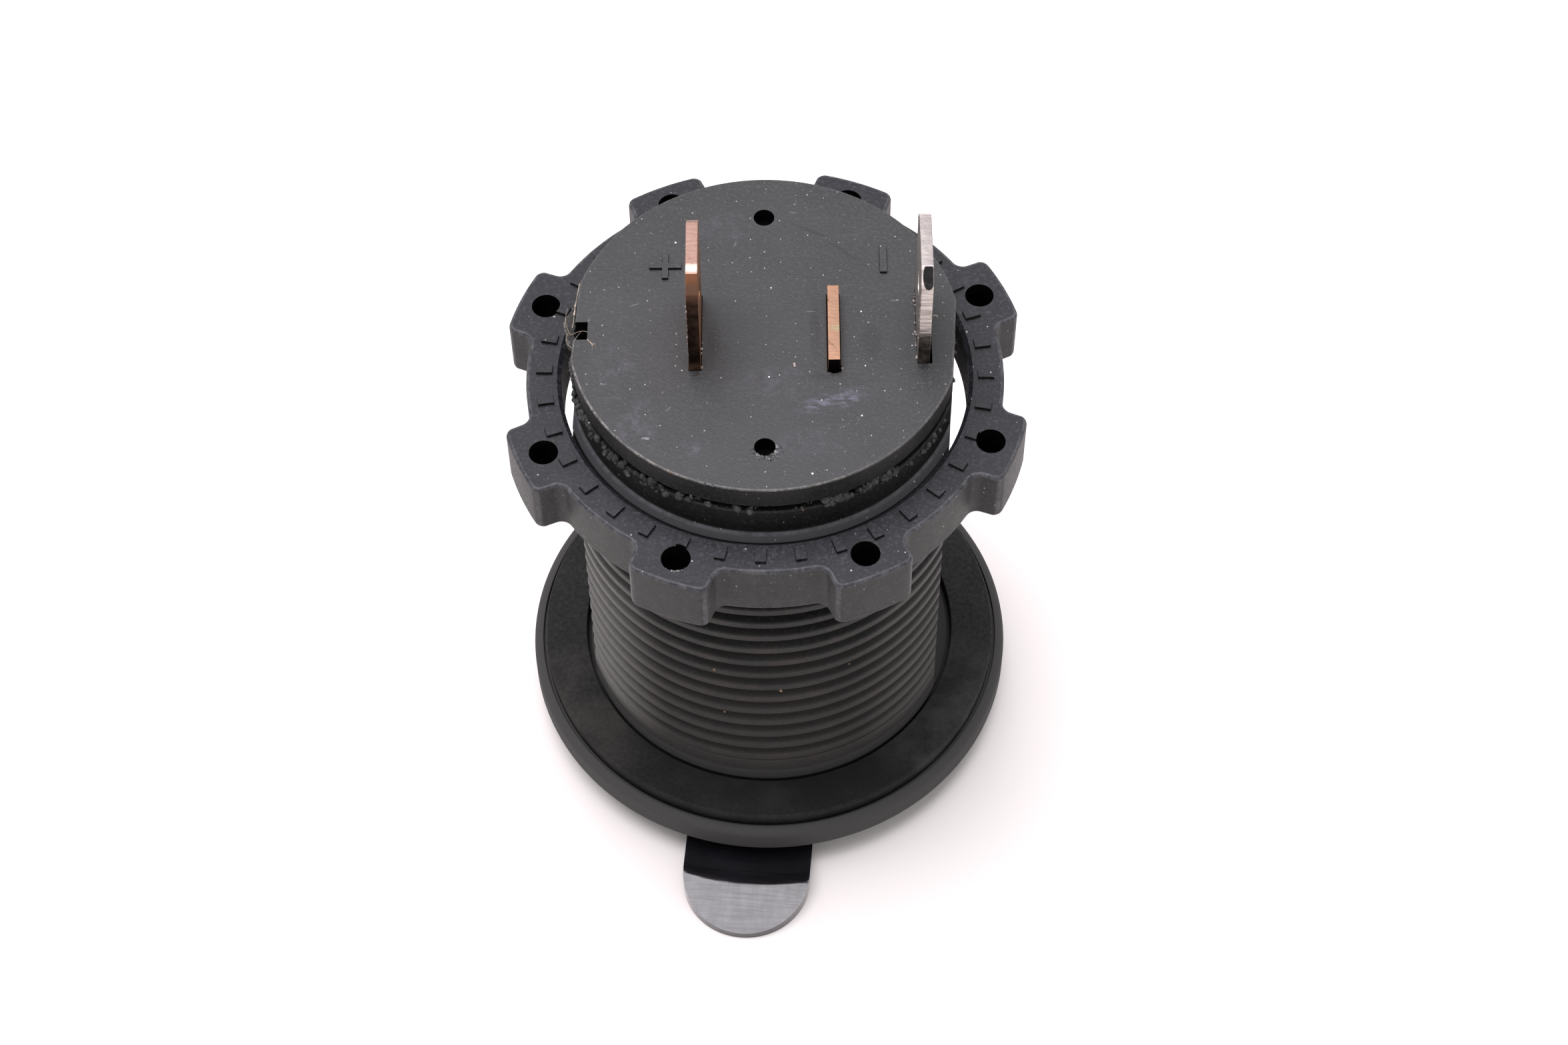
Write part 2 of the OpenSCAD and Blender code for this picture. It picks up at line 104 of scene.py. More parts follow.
@contextmanager
def editing(obj, action="SELECT"):
    """Edit mode for one object, with all of it selected, or nothing with DESELECT."""
    only(obj)
    bpy.ops.object.mode_set(mode="EDIT")
    bpy.ops.mesh.select_all(action=action)
    yield
    bpy.ops.object.mode_set(mode="OBJECT")


def clean(threshold=0.0005):
    """In edit mode: merges doubles, drops loose bits and turns all faces outwards."""
    bpy.ops.mesh.select_all(action="SELECT")
    bpy.ops.mesh.remove_doubles(threshold=threshold)
    bpy.ops.mesh.dissolve_degenerate(threshold=threshold / 10)
    bpy.ops.mesh.delete_loose()
    bpy.ops.mesh.select_all(action="SELECT")
    bpy.ops.mesh.normals_make_consistent(inside=False)


def joined(name, parts):
    """Joins objects to one."""
    only(parts[0]).name = name
    for part in parts[1:]:
        part.select_set(True)
    bpy.ops.object.join()
    return parts[0]


# %% [markdown]
# ## Outlines
# A section or an outline is a list of points. Its round corners are worked out as arcs from a corner
# and a radius, so no outline has to be typed point by point. A circle with as many points becomes the
# outline when its points are moved there.

# %% Helpers for outlines
def polar(r, angle, centre=(0, 0)):
    """The point at a distance and an angle from a centre."""
    return centre[0] + r * math.cos(angle), centre[1] + r * math.sin(angle)


def about_axis(x, y, angle):
    """A point turned about the socket's axis."""
    c, s = math.cos(angle), math.sin(angle)
    return x * c - y * s, x * s + y * c


def rounded(corners, steps=5):
    """Points of a closed outline. Each corner is (x, y, radius)."""
    points = []
    for i, (x, y, radius) in enumerate(corners):
        if not radius:
            points.append((x, y))
            continue
        here = Vector((x, y))
        before = (Vector(corners[i - 1][:2]) - here).normalized()
        after = (Vector(corners[(i + 1) % len(corners)][:2]) - here).normalized()
        half = before.angle(after) / 2
        centre = here + (before + after).normalized() * radius / math.sin(half)
        start = here + before * radius / math.tan(half) - centre
        end = here + after * radius / math.tan(half) - centre
        first = math.atan2(start.y, start.x)
        sweep = math.remainder(math.atan2(end.y, end.x) - first, math.tau)
        points += [polar(radius, first + sweep * s / steps, centre) for s in range(steps + 1)]
    return points


def outline_object(name, points, place, fill):
    """A circle whose points are moved to the outline; place turns (u, v) into x, y, z."""
    bpy.ops.object.select_all(action="DESELECT")
    bpy.ops.mesh.primitive_circle_add(vertices=len(points), radius=1, fill_type=fill)
    made = bpy.context.active_object
    made.name = name
    for vertex, (u, v) in zip(made.data.vertices, points):
        vertex.co = place(u, v)
    return made


# %% [markdown]
# ## Turning and extruding
# A turned part is half its section, swept round the axis by Spin, as a lathe would. A moulded plate
# is a filled outline that Extrude gives a thickness. A block and a rod are plates too.

# %% Helpers for turned parts and plates
def turned(name, section, steps=180):
    """A ring or disc, spun from a section of (radius, height) points."""
    made = outline_object(name, section, lambda r, z: (r, 0, z), "NOTHING")
    with editing(made):
        bpy.ops.mesh.spin(steps=steps, angle=math.tau, center=(0, 0, 0), axis=(0, 0, 1))
        clean()
    return made


PLANES = {"Z": lambda u, v, w: (u, v, w), "X": lambda u, v, w: (w, u, v), "Y": lambda u, v, w: (u, w, v)}


def plate(name, points, low, high, axis="Z"):
    """An outline extruded along an axis from low to high."""
    place = PLANES[axis]
    made = outline_object(name, points, lambda u, v: place(u, v, low), "NGON")
    with editing(made):
        bpy.ops.mesh.extrude_region_move(TRANSFORM_OT_translate={"value": place(0, 0, high - low)})
        clean()
    return made


def block(name, low, high):
    """A box from one corner to the other."""
    (x0, y0, z0), (x1, y1, z1) = low, high
    return plate(name, [(x0, y0), (x1, y0), (x1, y1), (x0, y1)], z0, z1)


def rod(name, centre, radius, low, high, axis="Z", sides=48):
    """A round bar along an axis."""
    return plate(name, [polar(radius, math.tau * i / sides, centre) for i in range(sides)], low, high, axis)


def turn_z(obj, angle):
    """Turns a mesh about the socket's axis."""
    with editing(obj):
        bpy.ops.transform.rotate(value=-angle, orient_axis="Z", center_override=(0, 0, 0))
    return obj


def beyond_flats(low, high):
    """Two blocks outside the flats that run along the thread and the cover."""
    return [turn_z(block("flat", (left, -20, low), (right, 20, high)), FLAT_TURN)
            for left, right in ((-20, -FLAT_X), (FLAT_X, 20))]


# %% [markdown]
# ## Cutting and rounding
# Real edges are never quite sharp, and the thin light on a rounded edge is what makes a part look moulded. Cuts
# are Booleans with tools that are thrown away. A Bevel then rounds the edges, and may put the rounding in a
# material slot of its own, so that wear and a painted highlight can go only there.

# %% Helpers for cutting, rounding and painting
def combine(obj, tools, operation="DIFFERENCE"):
    """Cuts, joins or trims with other objects, one Boolean after another."""
    for tool in tools:
        only(obj)
        modifier = obj.modifiers.new("combine", "BOOLEAN")
        modifier.operation = operation
        modifier.solver = "EXACT"
        modifier.object = tool
        bpy.ops.object.modifier_apply(modifier=modifier.name)
        bpy.data.objects.remove(tool)
    return obj


def soften(obj, width, segments=3, angle=40, slot=-1):
    """Rounds all sharp edges."""
    with editing(obj):
        clean(0.002)
    modifier = obj.modifiers.new("soften", "BEVEL")
    modifier.width, modifier.segments = width, segments
    modifier.limit_method, modifier.angle_limit = "ANGLE", math.radians(angle)
    modifier.material = slot
    bpy.ops.object.modifier_apply(modifier=modifier.name)
    return obj


def bevel_where(obj, test, width, segments, slot=-1):
    """Rounds only the edges whose two ends both pass a test."""
    with editing(obj, "DESELECT"):
        pass  # clears what an earlier tool left selected
    for edge in obj.data.edges:
        edge.select = all(test(obj.data.vertices[i].co) for i in edge.vertices)
    print("edges rounded:", sum(edge.select for edge in obj.data.edges))
    bpy.context.scene.tool_settings.mesh_select_mode = (False, True, False)
    bpy.ops.object.mode_set(mode="EDIT")
    bpy.ops.mesh.bevel(offset=width, segments=segments, material=slot)
    bpy.ops.mesh.select_mode(type="VERT")
    bpy.ops.object.mode_set(mode="OBJECT")
    return obj


def dress(obj, materials):
    """Gives an object its material slots."""
    for material in materials:
        obj.data.materials.append(material)
    return obj


def paint_faces(obj, slot, test):
    """Gives the faces that pass a test another material slot."""
    for face in obj.data.polygons:
        if test(face):
            face.material_index = slot


# %% [markdown]
# ## Finishing a piece
# Every piece ends the same way: smooth shading with its real edges kept sharp, flat faces kept flat by weighted
# normals, the shrink from millimetres to metres, and its tie to the frame: the body that it rides on and the
# CAD nodes that it stands for.

# %% The last step of every piece
def finish_piece(obj, body, materials=(), stands_for=(), smooth=35):
    """Shades and shrinks a piece, dresses it where it isn't dressed yet, ties it to its body and hides the CAD
    nodes it stands for.
    """
    only(obj)
    bpy.ops.object.shade_smooth_by_angle(angle=math.radians(smooth))
    modifier = obj.modifiers.new("flat faces", "WEIGHTED_NORMAL")
    modifier.keep_sharp = True
    bpy.ops.object.modifier_apply(modifier=modifier.name)
    obj.scale = (MM, MM, MM)
    bpy.ops.object.transform_apply(location=True, rotation=True, scale=True)
    dress(obj, materials)
    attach(obj, body)
    if stands_for:
        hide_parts(*stands_for)
    print(f"{obj.name}: {len(obj.data.polygons)} faces, rides on {body}")
    return obj


# %% [markdown]
# ## Building finishes from nodes
# A finish is a small graph: a place on the object goes through noises and masks into the colour,
# roughness and bump of one shader. It is built like paint, one coat over another, each with a mask
# that says where it lies, so that it reads from top to bottom like a recipe. All patterns sit on
# Object coordinates, in metres, so they stay put when the cap or the nut moves.

# %% A finish and its coats
class Finish:
    """A material built up in coats; turn turns its patterns about the socket's axis."""

    def __init__(self, name, colour, turn=0.0, **settings):
        self.material = bpy.data.materials.new(name)
        self.material.use_nodes = True
        self.shader = self.material.node_tree.nodes["Principled BSDF"]
        for socket, value in settings.items():
            self.shader.inputs[socket.replace("_", " ")].default_value = value
        self.colour, self.turn = colour, turn
        self.place = self.placed()

    def node(self, kind, inputs=None, out=0, **settings):
        """Adds a node; an input is a value or another node's output."""
        made = self.material.node_tree.nodes.new(kind)
        for name, value in settings.items():
            setattr(made, name, value)
        for socket, value in (inputs or {}).items():
            if isinstance(value, bpy.types.NodeSocket):
                self.material.node_tree.links.new(value, made.inputs[socket])
            else:
                made.inputs[socket].default_value = value
        return made.outputs[out]

    def wire(self, output, socket):
        self.material.node_tree.links.new(output, self.shader.inputs[socket])

    def placed(self, lean=0.0, stretch=(1, 1, 1)):
        """Object coordinates, turned about Z and stretched where a pattern has a grain."""
        here = self.node("ShaderNodeTexCoord", out="Object")
        return self.node("ShaderNodeMapping", {
            "Vector": here, "Rotation": (0, 0, self.turn + lean), "Scale": stretch})

    def noise(self, size, detail=3.0, rough=0.5, stretch=None, lean=0.0):
        """Soft noise from 0 to 1; size is the width of its blots in metres."""
        place = self.placed(lean, stretch) if stretch else self.place
        return self.node("ShaderNodeTexNoise", {
            "Vector": place, "Scale": 1 / size, "Detail": detail, "Roughness": rough})

    def ramp(self, value, low, high, start=0.0, end=1.0):
        """Start below low, end above high, and a smooth step between them."""
        return self.node("ShaderNodeMapRange", interpolation_type="SMOOTHSTEP", inputs={
            "Value": value, "From Min": low, "From Max": high, "To Min": start, "To Max": end})

    def span(self, value, low, high, start=0.0, end=1.0):
        """A ramp along a length, with its limits in millimetres."""
        return self.ramp(value, low * MM, high * MM, start, end)

    def calc(self, operation, a, b):
        return self.node("ShaderNodeMath", {0: a, 1: b}, operation=operation)

    def times(self, product, *others):
        for other in others:
            product = self.calc("MULTIPLY", product, other)
        return product

    def along(self, axis):
        """One coordinate of the place, in metres."""
        return self.node("ShaderNodeSeparateXYZ", {0: self.place}, out=axis)

    def from_axis(self):
        """Distance from the socket's axis, in metres."""
        flat = self.node("ShaderNodeVectorMath", {0: self.place, 1: (1, 1, 0)}, operation="MULTIPLY")
        return self.node("ShaderNodeVectorMath", {0: flat}, out="Value", operation="LENGTH")

    def specks(self, spacing, size, share, dimensions="3D"):
        """Dots up to size across: a share of the cells, each about spacing wide, holds one."""
        cells = self.node("ShaderNodeTexVoronoi", {"Vector": self.place, "Scale": 1 / spacing},
                          out="Distance", voronoi_dimensions=dimensions)
        lot = self.node("ShaderNodeSeparateColor", {0: cells.node.outputs["Color"]})
        reach = self.node("ShaderNodeMapRange", {
            "Value": lot, "From Min": 0.0, "From Max": share,
            "To Min": size / 2 / spacing, "To Max": size / 5 / spacing})
        return self.times(self.calc("LESS_THAN", lot, share), self.calc("LESS_THAN", cells, reach))

    def blot(self, centre, size, lean=0.0):
        """A soft oval spot, 1 in its middle; its centre and half widths are in millimetres."""
        local = self.node("ShaderNodeMapping", vector_type="TEXTURE", inputs={
            "Vector": self.place, "Location": [c * MM for c in centre], "Rotation": (0, 0, lean),
            "Scale": [s * MM for s in size]})
        reach = self.node("ShaderNodeVectorMath", {0: local}, out="Value", operation="LENGTH")
        return self.ramp(reach, 0.35, 1.0, 1.0, 0.0)

    def tint(self, share, base, colour):
        """One colour laid over another; a colour is (r, g, b) or a node's output."""
        base, colour = [(*c, 1) if isinstance(c, tuple) else c for c in (base, colour)]
        return self.node("ShaderNodeMix", {0: share, 6: base, 7: colour}, out=2, data_type="RGBA")

    def coat(self, share, colour):
        """Lays a colour over the coats so far."""
        self.colour = self.tint(share, self.colour, colour)

    def relief(self, height, depth, strength):
        """Bumps, with their real depth in metres."""
        bumps = self.node("ShaderNodeBump", {"Height": height, "Distance": depth, "Strength": strength})
        self.wire(bumps, "Normal")

    def done(self, rough=None):
        """Wires the coats, and a roughness that varies, and hands the material over."""
        self.wire(self.colour, "Base Color")
        if rough is not None:
            self.wire(rough, "Roughness")
        print(self.material.name, "has", len(self.material.node_tree.nodes), "nodes")
        return self.material


# %% [markdown]
# ## Worn black nylon
# The barrel and its flange are one moulding of black nylon. It is never quite black: dust lightens it in
# clouds, brown dirt from years behind a dashboard clings to the thread's crests, and a few crumbs of dust sit
# on it. A diffuse black with a broad, soft shine gives the plastic, and noise in its colour and roughness gives
# the age. The first coats paint the flange a lighter grey, paint the cone at the top of the thread lighter as
# if lit, and lay a painted highlight, broken by noise, along the shoulder above it.

# %% The finish of the barrel: black, flange and shoulder
BLACK, DUSTY = (0.0042, 0.0041, 0.0043), (0.012, 0.011, 0.0105)
BROWN_DIRT, PALE_DUST = (0.042, 0.034, 0.027), (0.36, 0.34, 0.32)
THREAD_R, ROOT_R = 13.9, 13.25

black = Finish("barrel_black", BLACK, Specular_IOR_Level=0.25)
black.coat(black.ramp(black.noise(0.006, 5), 0.35, 0.75), DUSTY)
reach, up = black.from_axis(), black.along("Z")
# Painted lighter: the flange is made a lighter grey.
black.coat(black.span(up, 1.4, 1.2), (0.042, 0.0415, 0.0430))
# Painted light: the cone is made lighter as if lit, and a painted highlight, broken by noise, runs along the
# shoulder.
on_cone = black.times(black.span(up, 31.4, 31.6), black.span(up, 32.3, 32.1))
black.coat(on_cone, (0.043, 0.043, 0.047))
shoulder = black.times(black.span(up, 31.85, 31.98), black.span(up, 32.2, 32.08))
highlight_breaks = black.ramp(black.noise(0.0006, 6, 0.7), 0.38, 0.62, 0.15, 0.9)
black.coat(black.times(shoulder, highlight_breaks), (0.095, 0.092, 0.10))

# %% [markdown]
# The thread carries brown dirt on its crests, fading out towards the nut. Low down the roots, and less so the
# whole thread, are painted lighter: painted light that softens the shade between the ridges, so the thread is
# darker towards the nut. A pale film on the two sides is partly dust and partly painted sheen, where the barrel
# turns away. Each mask is a product of how far a point is from the axis and how high it is.

# %% The finish of the barrel: dirt, dust, painted light and grain
on_thread = black.span(up, 1.2, 3)
crest = black.times(black.span(reach, 13.55, 13.85), on_thread)
patches = black.ramp(black.noise(0.0035, 6, 0.6), 0.42, 0.68, 0.05, 0.5)
below_nut = black.span(up, 25, 14, 0.15, 1.0)
black.coat(black.times(crest, patches, below_nut), BROWN_DIRT)
roots = black.times(black.span(reach, 13.7, 13.35), on_thread)
low_down = black.span(up, 24, 8)
# Painted light: the roots low down, and less so the whole lower thread, are made lighter.
black.coat(black.times(roots, low_down), (0.042, 0.036, 0.031))
black.coat(black.times(low_down, 0.5), (0.044, 0.041, 0.039))
# Dust and painted sheen: the two sides are made paler.
across = black.along("X")
sides = black.calc("ADD", black.span(across, -6, -12), black.span(across, 7, 12.5, 0.0, 0.32))
black.coat(black.times(sides, black.span(up, 26, 16), on_thread), (0.130, 0.125, 0.120))
black.coat(black.times(black.specks(0.0006, 0.00013, 0.3), black.span(up, 27, 30)), PALE_DUST)
grain = black.noise(0.0003, 4, 0.65)
black.coat(black.ramp(grain, 0.48, 0.72, 0.0, 0.35), (0.05, 0.047, 0.045))
black.relief(grain, 0.00004, 0.7)
barrel_black = black.done(black.ramp(low_down, 0.0, 1.0, 0.5, 0.75))

# %% [markdown]
# ## The barrel and flange
# The moulding is a turned shape, so it is spun from half its section: mouth, flange with the shallow
# seat of the gasket, plain band, thread root, lead-in cone and neck. Two flats run along the real
# thread, so two blocks cut them away above the flange. A third block cuts the keyway that the minus
# blade passes through.

# %% Barrel and flange
FLANGE_FRONT, FLANGE_BACK = -3.2, -0.8
SEAT_R, SEAT_Z = 17.45, -1.2
MOUTH_R, MOUTH_CHAMFER, LIP_BACK = 10.75, 0.5, -2.2
BARREL_BORE_R = 11.15
PITCH, PLAIN_TOP, THREAD_TOP, NECK_START, NECK_R = 1.65, 2.6, 31.5, 32.1, 13.3
RELIEF_R, RELIEF_TOP = 13.7, 0.1
ABOVE_ALL = 40

barrel = turned("barrel_and_flange", rounded([
    (MOUTH_R + MOUTH_CHAMFER, FLANGE_FRONT, 0), (FLANGE_R, FLANGE_FRONT, 0.35),
    (FLANGE_R, FLANGE_BACK, 0.6), (SEAT_R, FLANGE_BACK, 0.06), (SEAT_R, SEAT_Z, 0.05),
    (RELIEF_R, SEAT_Z, 0), (RELIEF_R, RELIEF_TOP, 0), (THREAD_R, RELIEF_TOP, 0),
    (THREAD_R, PLAIN_TOP, 0.15), (ROOT_R, PLAIN_TOP + 0.4, 0.1), (ROOT_R, THREAD_TOP - 0.3, 0),
    (THREAD_R, THREAD_TOP, 0.12), (NECK_R, NECK_START, 0.15), (NECK_R, BARREL_END, 0.12),
    (BARREL_BORE_R, BARREL_END, 0.05), (BARREL_BORE_R, LIP_BACK, 0), (MOUTH_R, LIP_BACK, 0),
    (MOUTH_R, FLANGE_FRONT + MOUTH_CHAMFER, 0)]), 240)
keyway = turn_z(block("keyway", (0, -3.1, 27.85), (11.2, 3.5, ABOVE_ALL)), TERMINAL_TURN)
combine(barrel, [*beyond_flats(FLANGE_BACK + 0.01, ABOVE_ALL), keyway])

# %% [markdown]
# The cap turns on a pin between two ears of the flange. An ear is a plate with a round eye. It is cut
# to the seat, its edges are rounded, and only then is it joined to the flange.

# %% Ears of the hinge
EAR_R, EAR_IN, EAR_OUT = 1.45, 3.0, 5.2
PIN_HOLE_R = 0.76
for low, high in ((-EAR_OUT, -EAR_IN), (EAR_IN, EAR_OUT)):
    ear = plate("ear", rounded([
        (FLANGE_R - 2, FLANGE_FRONT + 0.05, 0), (HINGE_Y - EAR_R, FLANGE_FRONT + 0.05, 0),
        (HINGE_Y - EAR_R, HINGE_Z - EAR_R, EAR_R - 0.01), (HINGE_Y + EAR_R, HINGE_Z - EAR_R, EAR_R - 0.01),
        (HINGE_Y + EAR_R, FLANGE_BACK - 0.05, 1.2), (FLANGE_R - 2, FLANGE_BACK - 0.05, 0),
    ]), low, high, "X")
    seat = rod("seat", (0, 0), SEAT_R + 0.05, SEAT_Z - 0.02, 2, sides=180)
    eye = rod("eye", (HINGE_Y, HINGE_Z), PIN_HOLE_R, low - 1, high + 1, "X")
    combine(ear, [seat, eye])
    combine(barrel, [soften(ear, 0.12, 2)], "UNION")
finish_piece(barrel, "socket_body", [barrel_black], ["housing"])

# %% [markdown]
# ## The thread
# The real thread is a helix, which the CAD model leaves to this scene. One ridge section is swept up
# the barrel by the Screw modifier, a turn every 1.65 mm. The ends are closed, and Bisect trims it to
# its length and to the two flats, filling each cut. The ridge sinks a little into the barrel, so no
# gap can show at its foot, and it ends just under the flats, so that no two faces lie in one plane.

# %% Thread
SUNK = 0.3
CREST_R = THREAD_R - 0.02
ridge = rounded([
    (ROOT_R - SUNK, 0.0, 0), (ROOT_R, 0.14 * PITCH - 0.1, 0), (CREST_R, 0.37 * PITCH, 0.22),
    (CREST_R, 0.77 * PITCH, 0.22), (ROOT_R, 1.0 * PITCH - 0.1, 0), (ROOT_R - SUNK, PITCH - 0.1, 0),
], steps=4)
thread = outline_object("barrel_thread", ridge, lambda r, z: (r, 0, PLAIN_TOP - PITCH + z), "NOTHING")
helix = thread.modifiers.new("helix", "SCREW")
helix.angle, helix.screw_offset, helix.iterations = math.tau, PITCH, 18
helix.steps = helix.render_steps = 120
helix.use_normal_calculate = True
only(thread)
bpy.ops.object.modifier_apply(modifier=helix.name)

outward = Vector((*polar(1, FLAT_TURN), 0))
UNDER_FLAT = FLAT_X - 0.015
TRIMS = [(outward * UNDER_FLAT, outward), (-outward * UNDER_FLAT, -outward),
         ((0, 0, THREAD_TOP - 0.1), (0, 0, 1)), ((0, 0, PLAIN_TOP - 0.4), (0, 0, -1))]
with editing(thread):
    bpy.ops.mesh.remove_doubles(threshold=0.0005)
    bpy.ops.mesh.select_all(action="DESELECT")
    bpy.ops.mesh.select_mode(type="EDGE")
    bpy.ops.mesh.select_non_manifold()
    bpy.ops.mesh.edge_face_add()
    clean()
    for point, normal in TRIMS:
        bpy.ops.mesh.select_all(action="SELECT")
        bpy.ops.mesh.bisect(plane_co=point, plane_no=normal, use_fill=True, clear_outer=True)
    clean()
    bpy.ops.mesh.select_mode(type="VERT")
finish_piece(thread, "socket_body", [barrel_black], ["housing"])

# %% [markdown]
# ## The gasket
# A flat ring of black rubber lies in the seat of the flange. Rubber drinks light, so its finish is darker and
# duller than the nylon, with cloudy dust on it and smears where a cloth left some; the grey smear on the right
# side is laid on thick, partly smear and partly painted light that lifts the side the lamp leaves darker. Its
# section is a rectangle with soft edges, spun like the flange.

# %% Gasket
rubber = Finish("gasket_rubber", (0.0045, 0.0043, 0.0045), Specular_IOR_Level=0.25)
clouds = rubber.noise(0.004, 5, 0.6)
rubber.coat(rubber.ramp(clouds, 0.4, 0.75), DUSTY)
BROWN_SMEAR, GREY_SMEAR_AND_FILL_LIGHT = (0.036, 0.030, 0.027), (0.034, 0.033, 0.034)
# The right-hand grey smear is partly painted fill light.
for centre, size, share, shade in (((-13.5, -9, 0), (7, 7, 4), 0.55, BROWN_SMEAR),
                                   ((13.5, -7, 0), (7, 9, 4), 0.8, GREY_SMEAR_AND_FILL_LIGHT),
                                   ((0, -15.6, 0), (6, 2.4, 3), 0.15, GREY_SMEAR_AND_FILL_LIGHT)):
    rubber.coat(rubber.times(rubber.blot(centre, size), rubber.ramp(clouds, 0.3, 0.7, 0.0, share)), shade)
fine = rubber.noise(0.0003, 3)
rubber.relief(fine, 0.00003, 0.5)
gasket_rubber = rubber.done(rubber.ramp(fine, 0.2, 0.8, 0.55, 0.8))

GASKET_IN = 14.02
gasket = turned("gasket", rounded([
    (GASKET_IN, gasket_low.z, 0), (gasket_high.x, gasket_low.z, 0.1),
    (gasket_high.x, gasket_high.z, 0.25), (GASKET_IN, gasket_high.z, 0.1)]), 240)
finish_piece(gasket, "socket_body", [gasket_rubber], ["panel_gasket"])

# %% [markdown]
# ## The rear cover's finish
# The cover is the first thing the camera sees. It is nylon too, but handling has marked it: grey hazes, bluish
# rubs where something brushed past, two dark streaks, short hairline scratches and white dust. Other dark lines
# are painted shade: around the stub, beside the plus blade and round the minus sign. Each mark is a mask on the
# turned coordinates of the terminals, laid over the black one after another, so every family of marks is one
# short table and one loop.

# %% The finish of the rear cover
def mottled(name, low, high, specular=0.5, grainy=0.35):
    """Nylon with cloudy colour and a fine grain, ready for further coats."""
    made = Finish(name, low, -TERMINAL_TURN, Specular_IOR_Level=specular)
    made.coat(made.ramp(made.noise(0.004, 7, 0.65), 0.3, 0.75), high)
    grain = made.noise(0.00026, 5, 0.7)
    made.coat(made.ramp(grain, 0.46, 0.7, 0.0, grainy), tuple(4 * c for c in high))
    made.wire(made.ramp(grain, 0.25, 0.75, 0.4, 0.62), "Roughness")
    made.relief(grain, 0.00004, 0.7)
    return made


skin = mottled("cover_black", (0.0096, 0.0096, 0.0099), (0.0164, 0.0159, 0.0171), grainy=0.5)
fluffy, patchy = skin.noise(0.0008, 8, 0.75), skin.noise(0.0026, 3)


def mark(x, y, w, h, lean=0.0):
    """A soft spot on the back of the cover, with its half widths."""
    return skin.blot((x, y, COVER_BACK), (w, h, 1), lean)


scraped = skin.ramp(skin.noise(0.0006, 7, 0.72, (0.5, 1.3, 1), -0.29), 0.44, 0.58, 0.0, 0.95)
skin.coat(skin.times(mark(4.6, -6.0, 3.2, 0.95, 0.29), scraped), (0.082, 0.082, 0.112))
HAZES = [(-9.6, -3.6, 3.6, 5.0, 0.05), (-1.0, 9.6, 6.0, 3.0, 0.2), (0.0, -9.5, 8.0, 4.0, 0.3)]
for *spot, share in HAZES:
    skin.coat(skin.times(mark(*spot), share), (0.021, 0.020, 0.0235))
RUBS = [(-10.4, -2.6, 1.9, 2.2, 0.2, 0.6), (-9.6, -3.4, 1.6, 1.2, -0.4, 0.4), (-8.2, -8.9, 2.2, 1.4, -0.6, 1.0),
        (-4.9, -9.9, 1.6, 0.9, 0.2, 0.8), (-10.2, 1.8, 2.0, 3.0, 0.1, 0.25), (-9.2, -6.6, 3.0, 2.0, -0.75, 0.8),
        (6.0, 8.6, 2.4, 1.6, 0.5, 0.3), (3.0, -9.4, 4.0, 1.6, 0.2, 0.4), (0.6, -4.6, 4.0, 2.4, 0.2, 0.4),
        (-2.0, 9.0, 3.6, 1.8, 0.2, 0.5), (-6.0, -1.6, 3.0, 3.0, 0.2, 0.15)]
dusty = skin.times(skin.ramp(fluffy, 0.44, 0.64), skin.ramp(patchy, 0.34, 0.58))
for *spot, share in RUBS:
    skin.coat(skin.times(mark(*spot), dusty, share), (0.058, 0.056, 0.072))

# %% Dark lines and painted shade, hairlines and dust on the cover
# The first two lines are dark streaks; the rest are painted shade around the stub, beside the plus blade and
# round the minus sign.
DARK_MARKS_AND_SHADE = [(3.2, 8.55, 2.1, 0.2, -0.5), (5.5, 6.7, 1.9, 0.24, -0.72), (7.2, -1.2, 1.0, 1.9, 0.1),
              (3.4, 0.0, 0.5, 3.3), (-3.4, -0.8, 0.6, 2.2), (3.7, -4.0, 0.9, 0.5),
              (7.86, 5.9, 0.1, 1.7), (8.44, 5.9, 0.1, 1.7), (8.15, 7.1, 0.42, 0.1)]
for spot in DARK_MARKS_AND_SHADE:
    skin.coat(skin.times(mark(*spot), 0.65), (0.0035, 0.0035, 0.0035))
HAIRLINES = [(-8.8, 2.2, 0.5, 0.35), (-2.0, 7.4, 0.4, 1.2), (3.1, 1.5, 0.4, 0.0), (8.9, 2.4, 0.5, 0.1),
             (-6.4, -6.6, 0.4, 0.9), (-4.4, 1.0, 0.5, 0.0), (-10.76, -4.5, 0.35, 0.1), (2.0, 10.2, 0.4, -0.2)]
for x, y, w, lean in HAIRLINES:
    skin.coat(skin.times(mark(x, y, w, 0.06, lean), 0.6), (0.14, 0.135, 0.14))
DUST = [(0.00055, 0.00007, 0.4, 0.12), (0.0010, 0.00009, 0.3, 0.42), (0.0031, 0.00015, 0.3, 0.62)]
for spacing, size, share, grey in DUST:
    skin.coat(skin.specks(spacing, size, share, "2D"), (grey, grey * 0.96, grey * 0.93))
cluster = skin.ramp(skin.times(mark(-7.9, -8.98, 0.55, 0.22), fluffy), 0.36, 0.6)
skin.coat(cluster, (0.34, 0.33, 0.35))
cover_black = skin.done()

# %% [markdown]
# The rim's rounding is whitened, partly where tools have knocked it and partly as a painted highlight along the
# edge, most at the front left, so it has a finish of its own. The wall below it is dark nylon painted darker
# than the top, as shade, and the nut and the weld flash later on are dark nylon too: one function mixes them
# all, from two shades, the share that is chafed pale, and two layers of dust. The holes are nearly black, as no
# light finds its way out of them.

# %% The finish of the cover's rim, wall and holes
rim = mottled("cover_rim_wear_and_highlight", (0.014, 0.014, 0.014), (0.03, 0.029, 0.029))
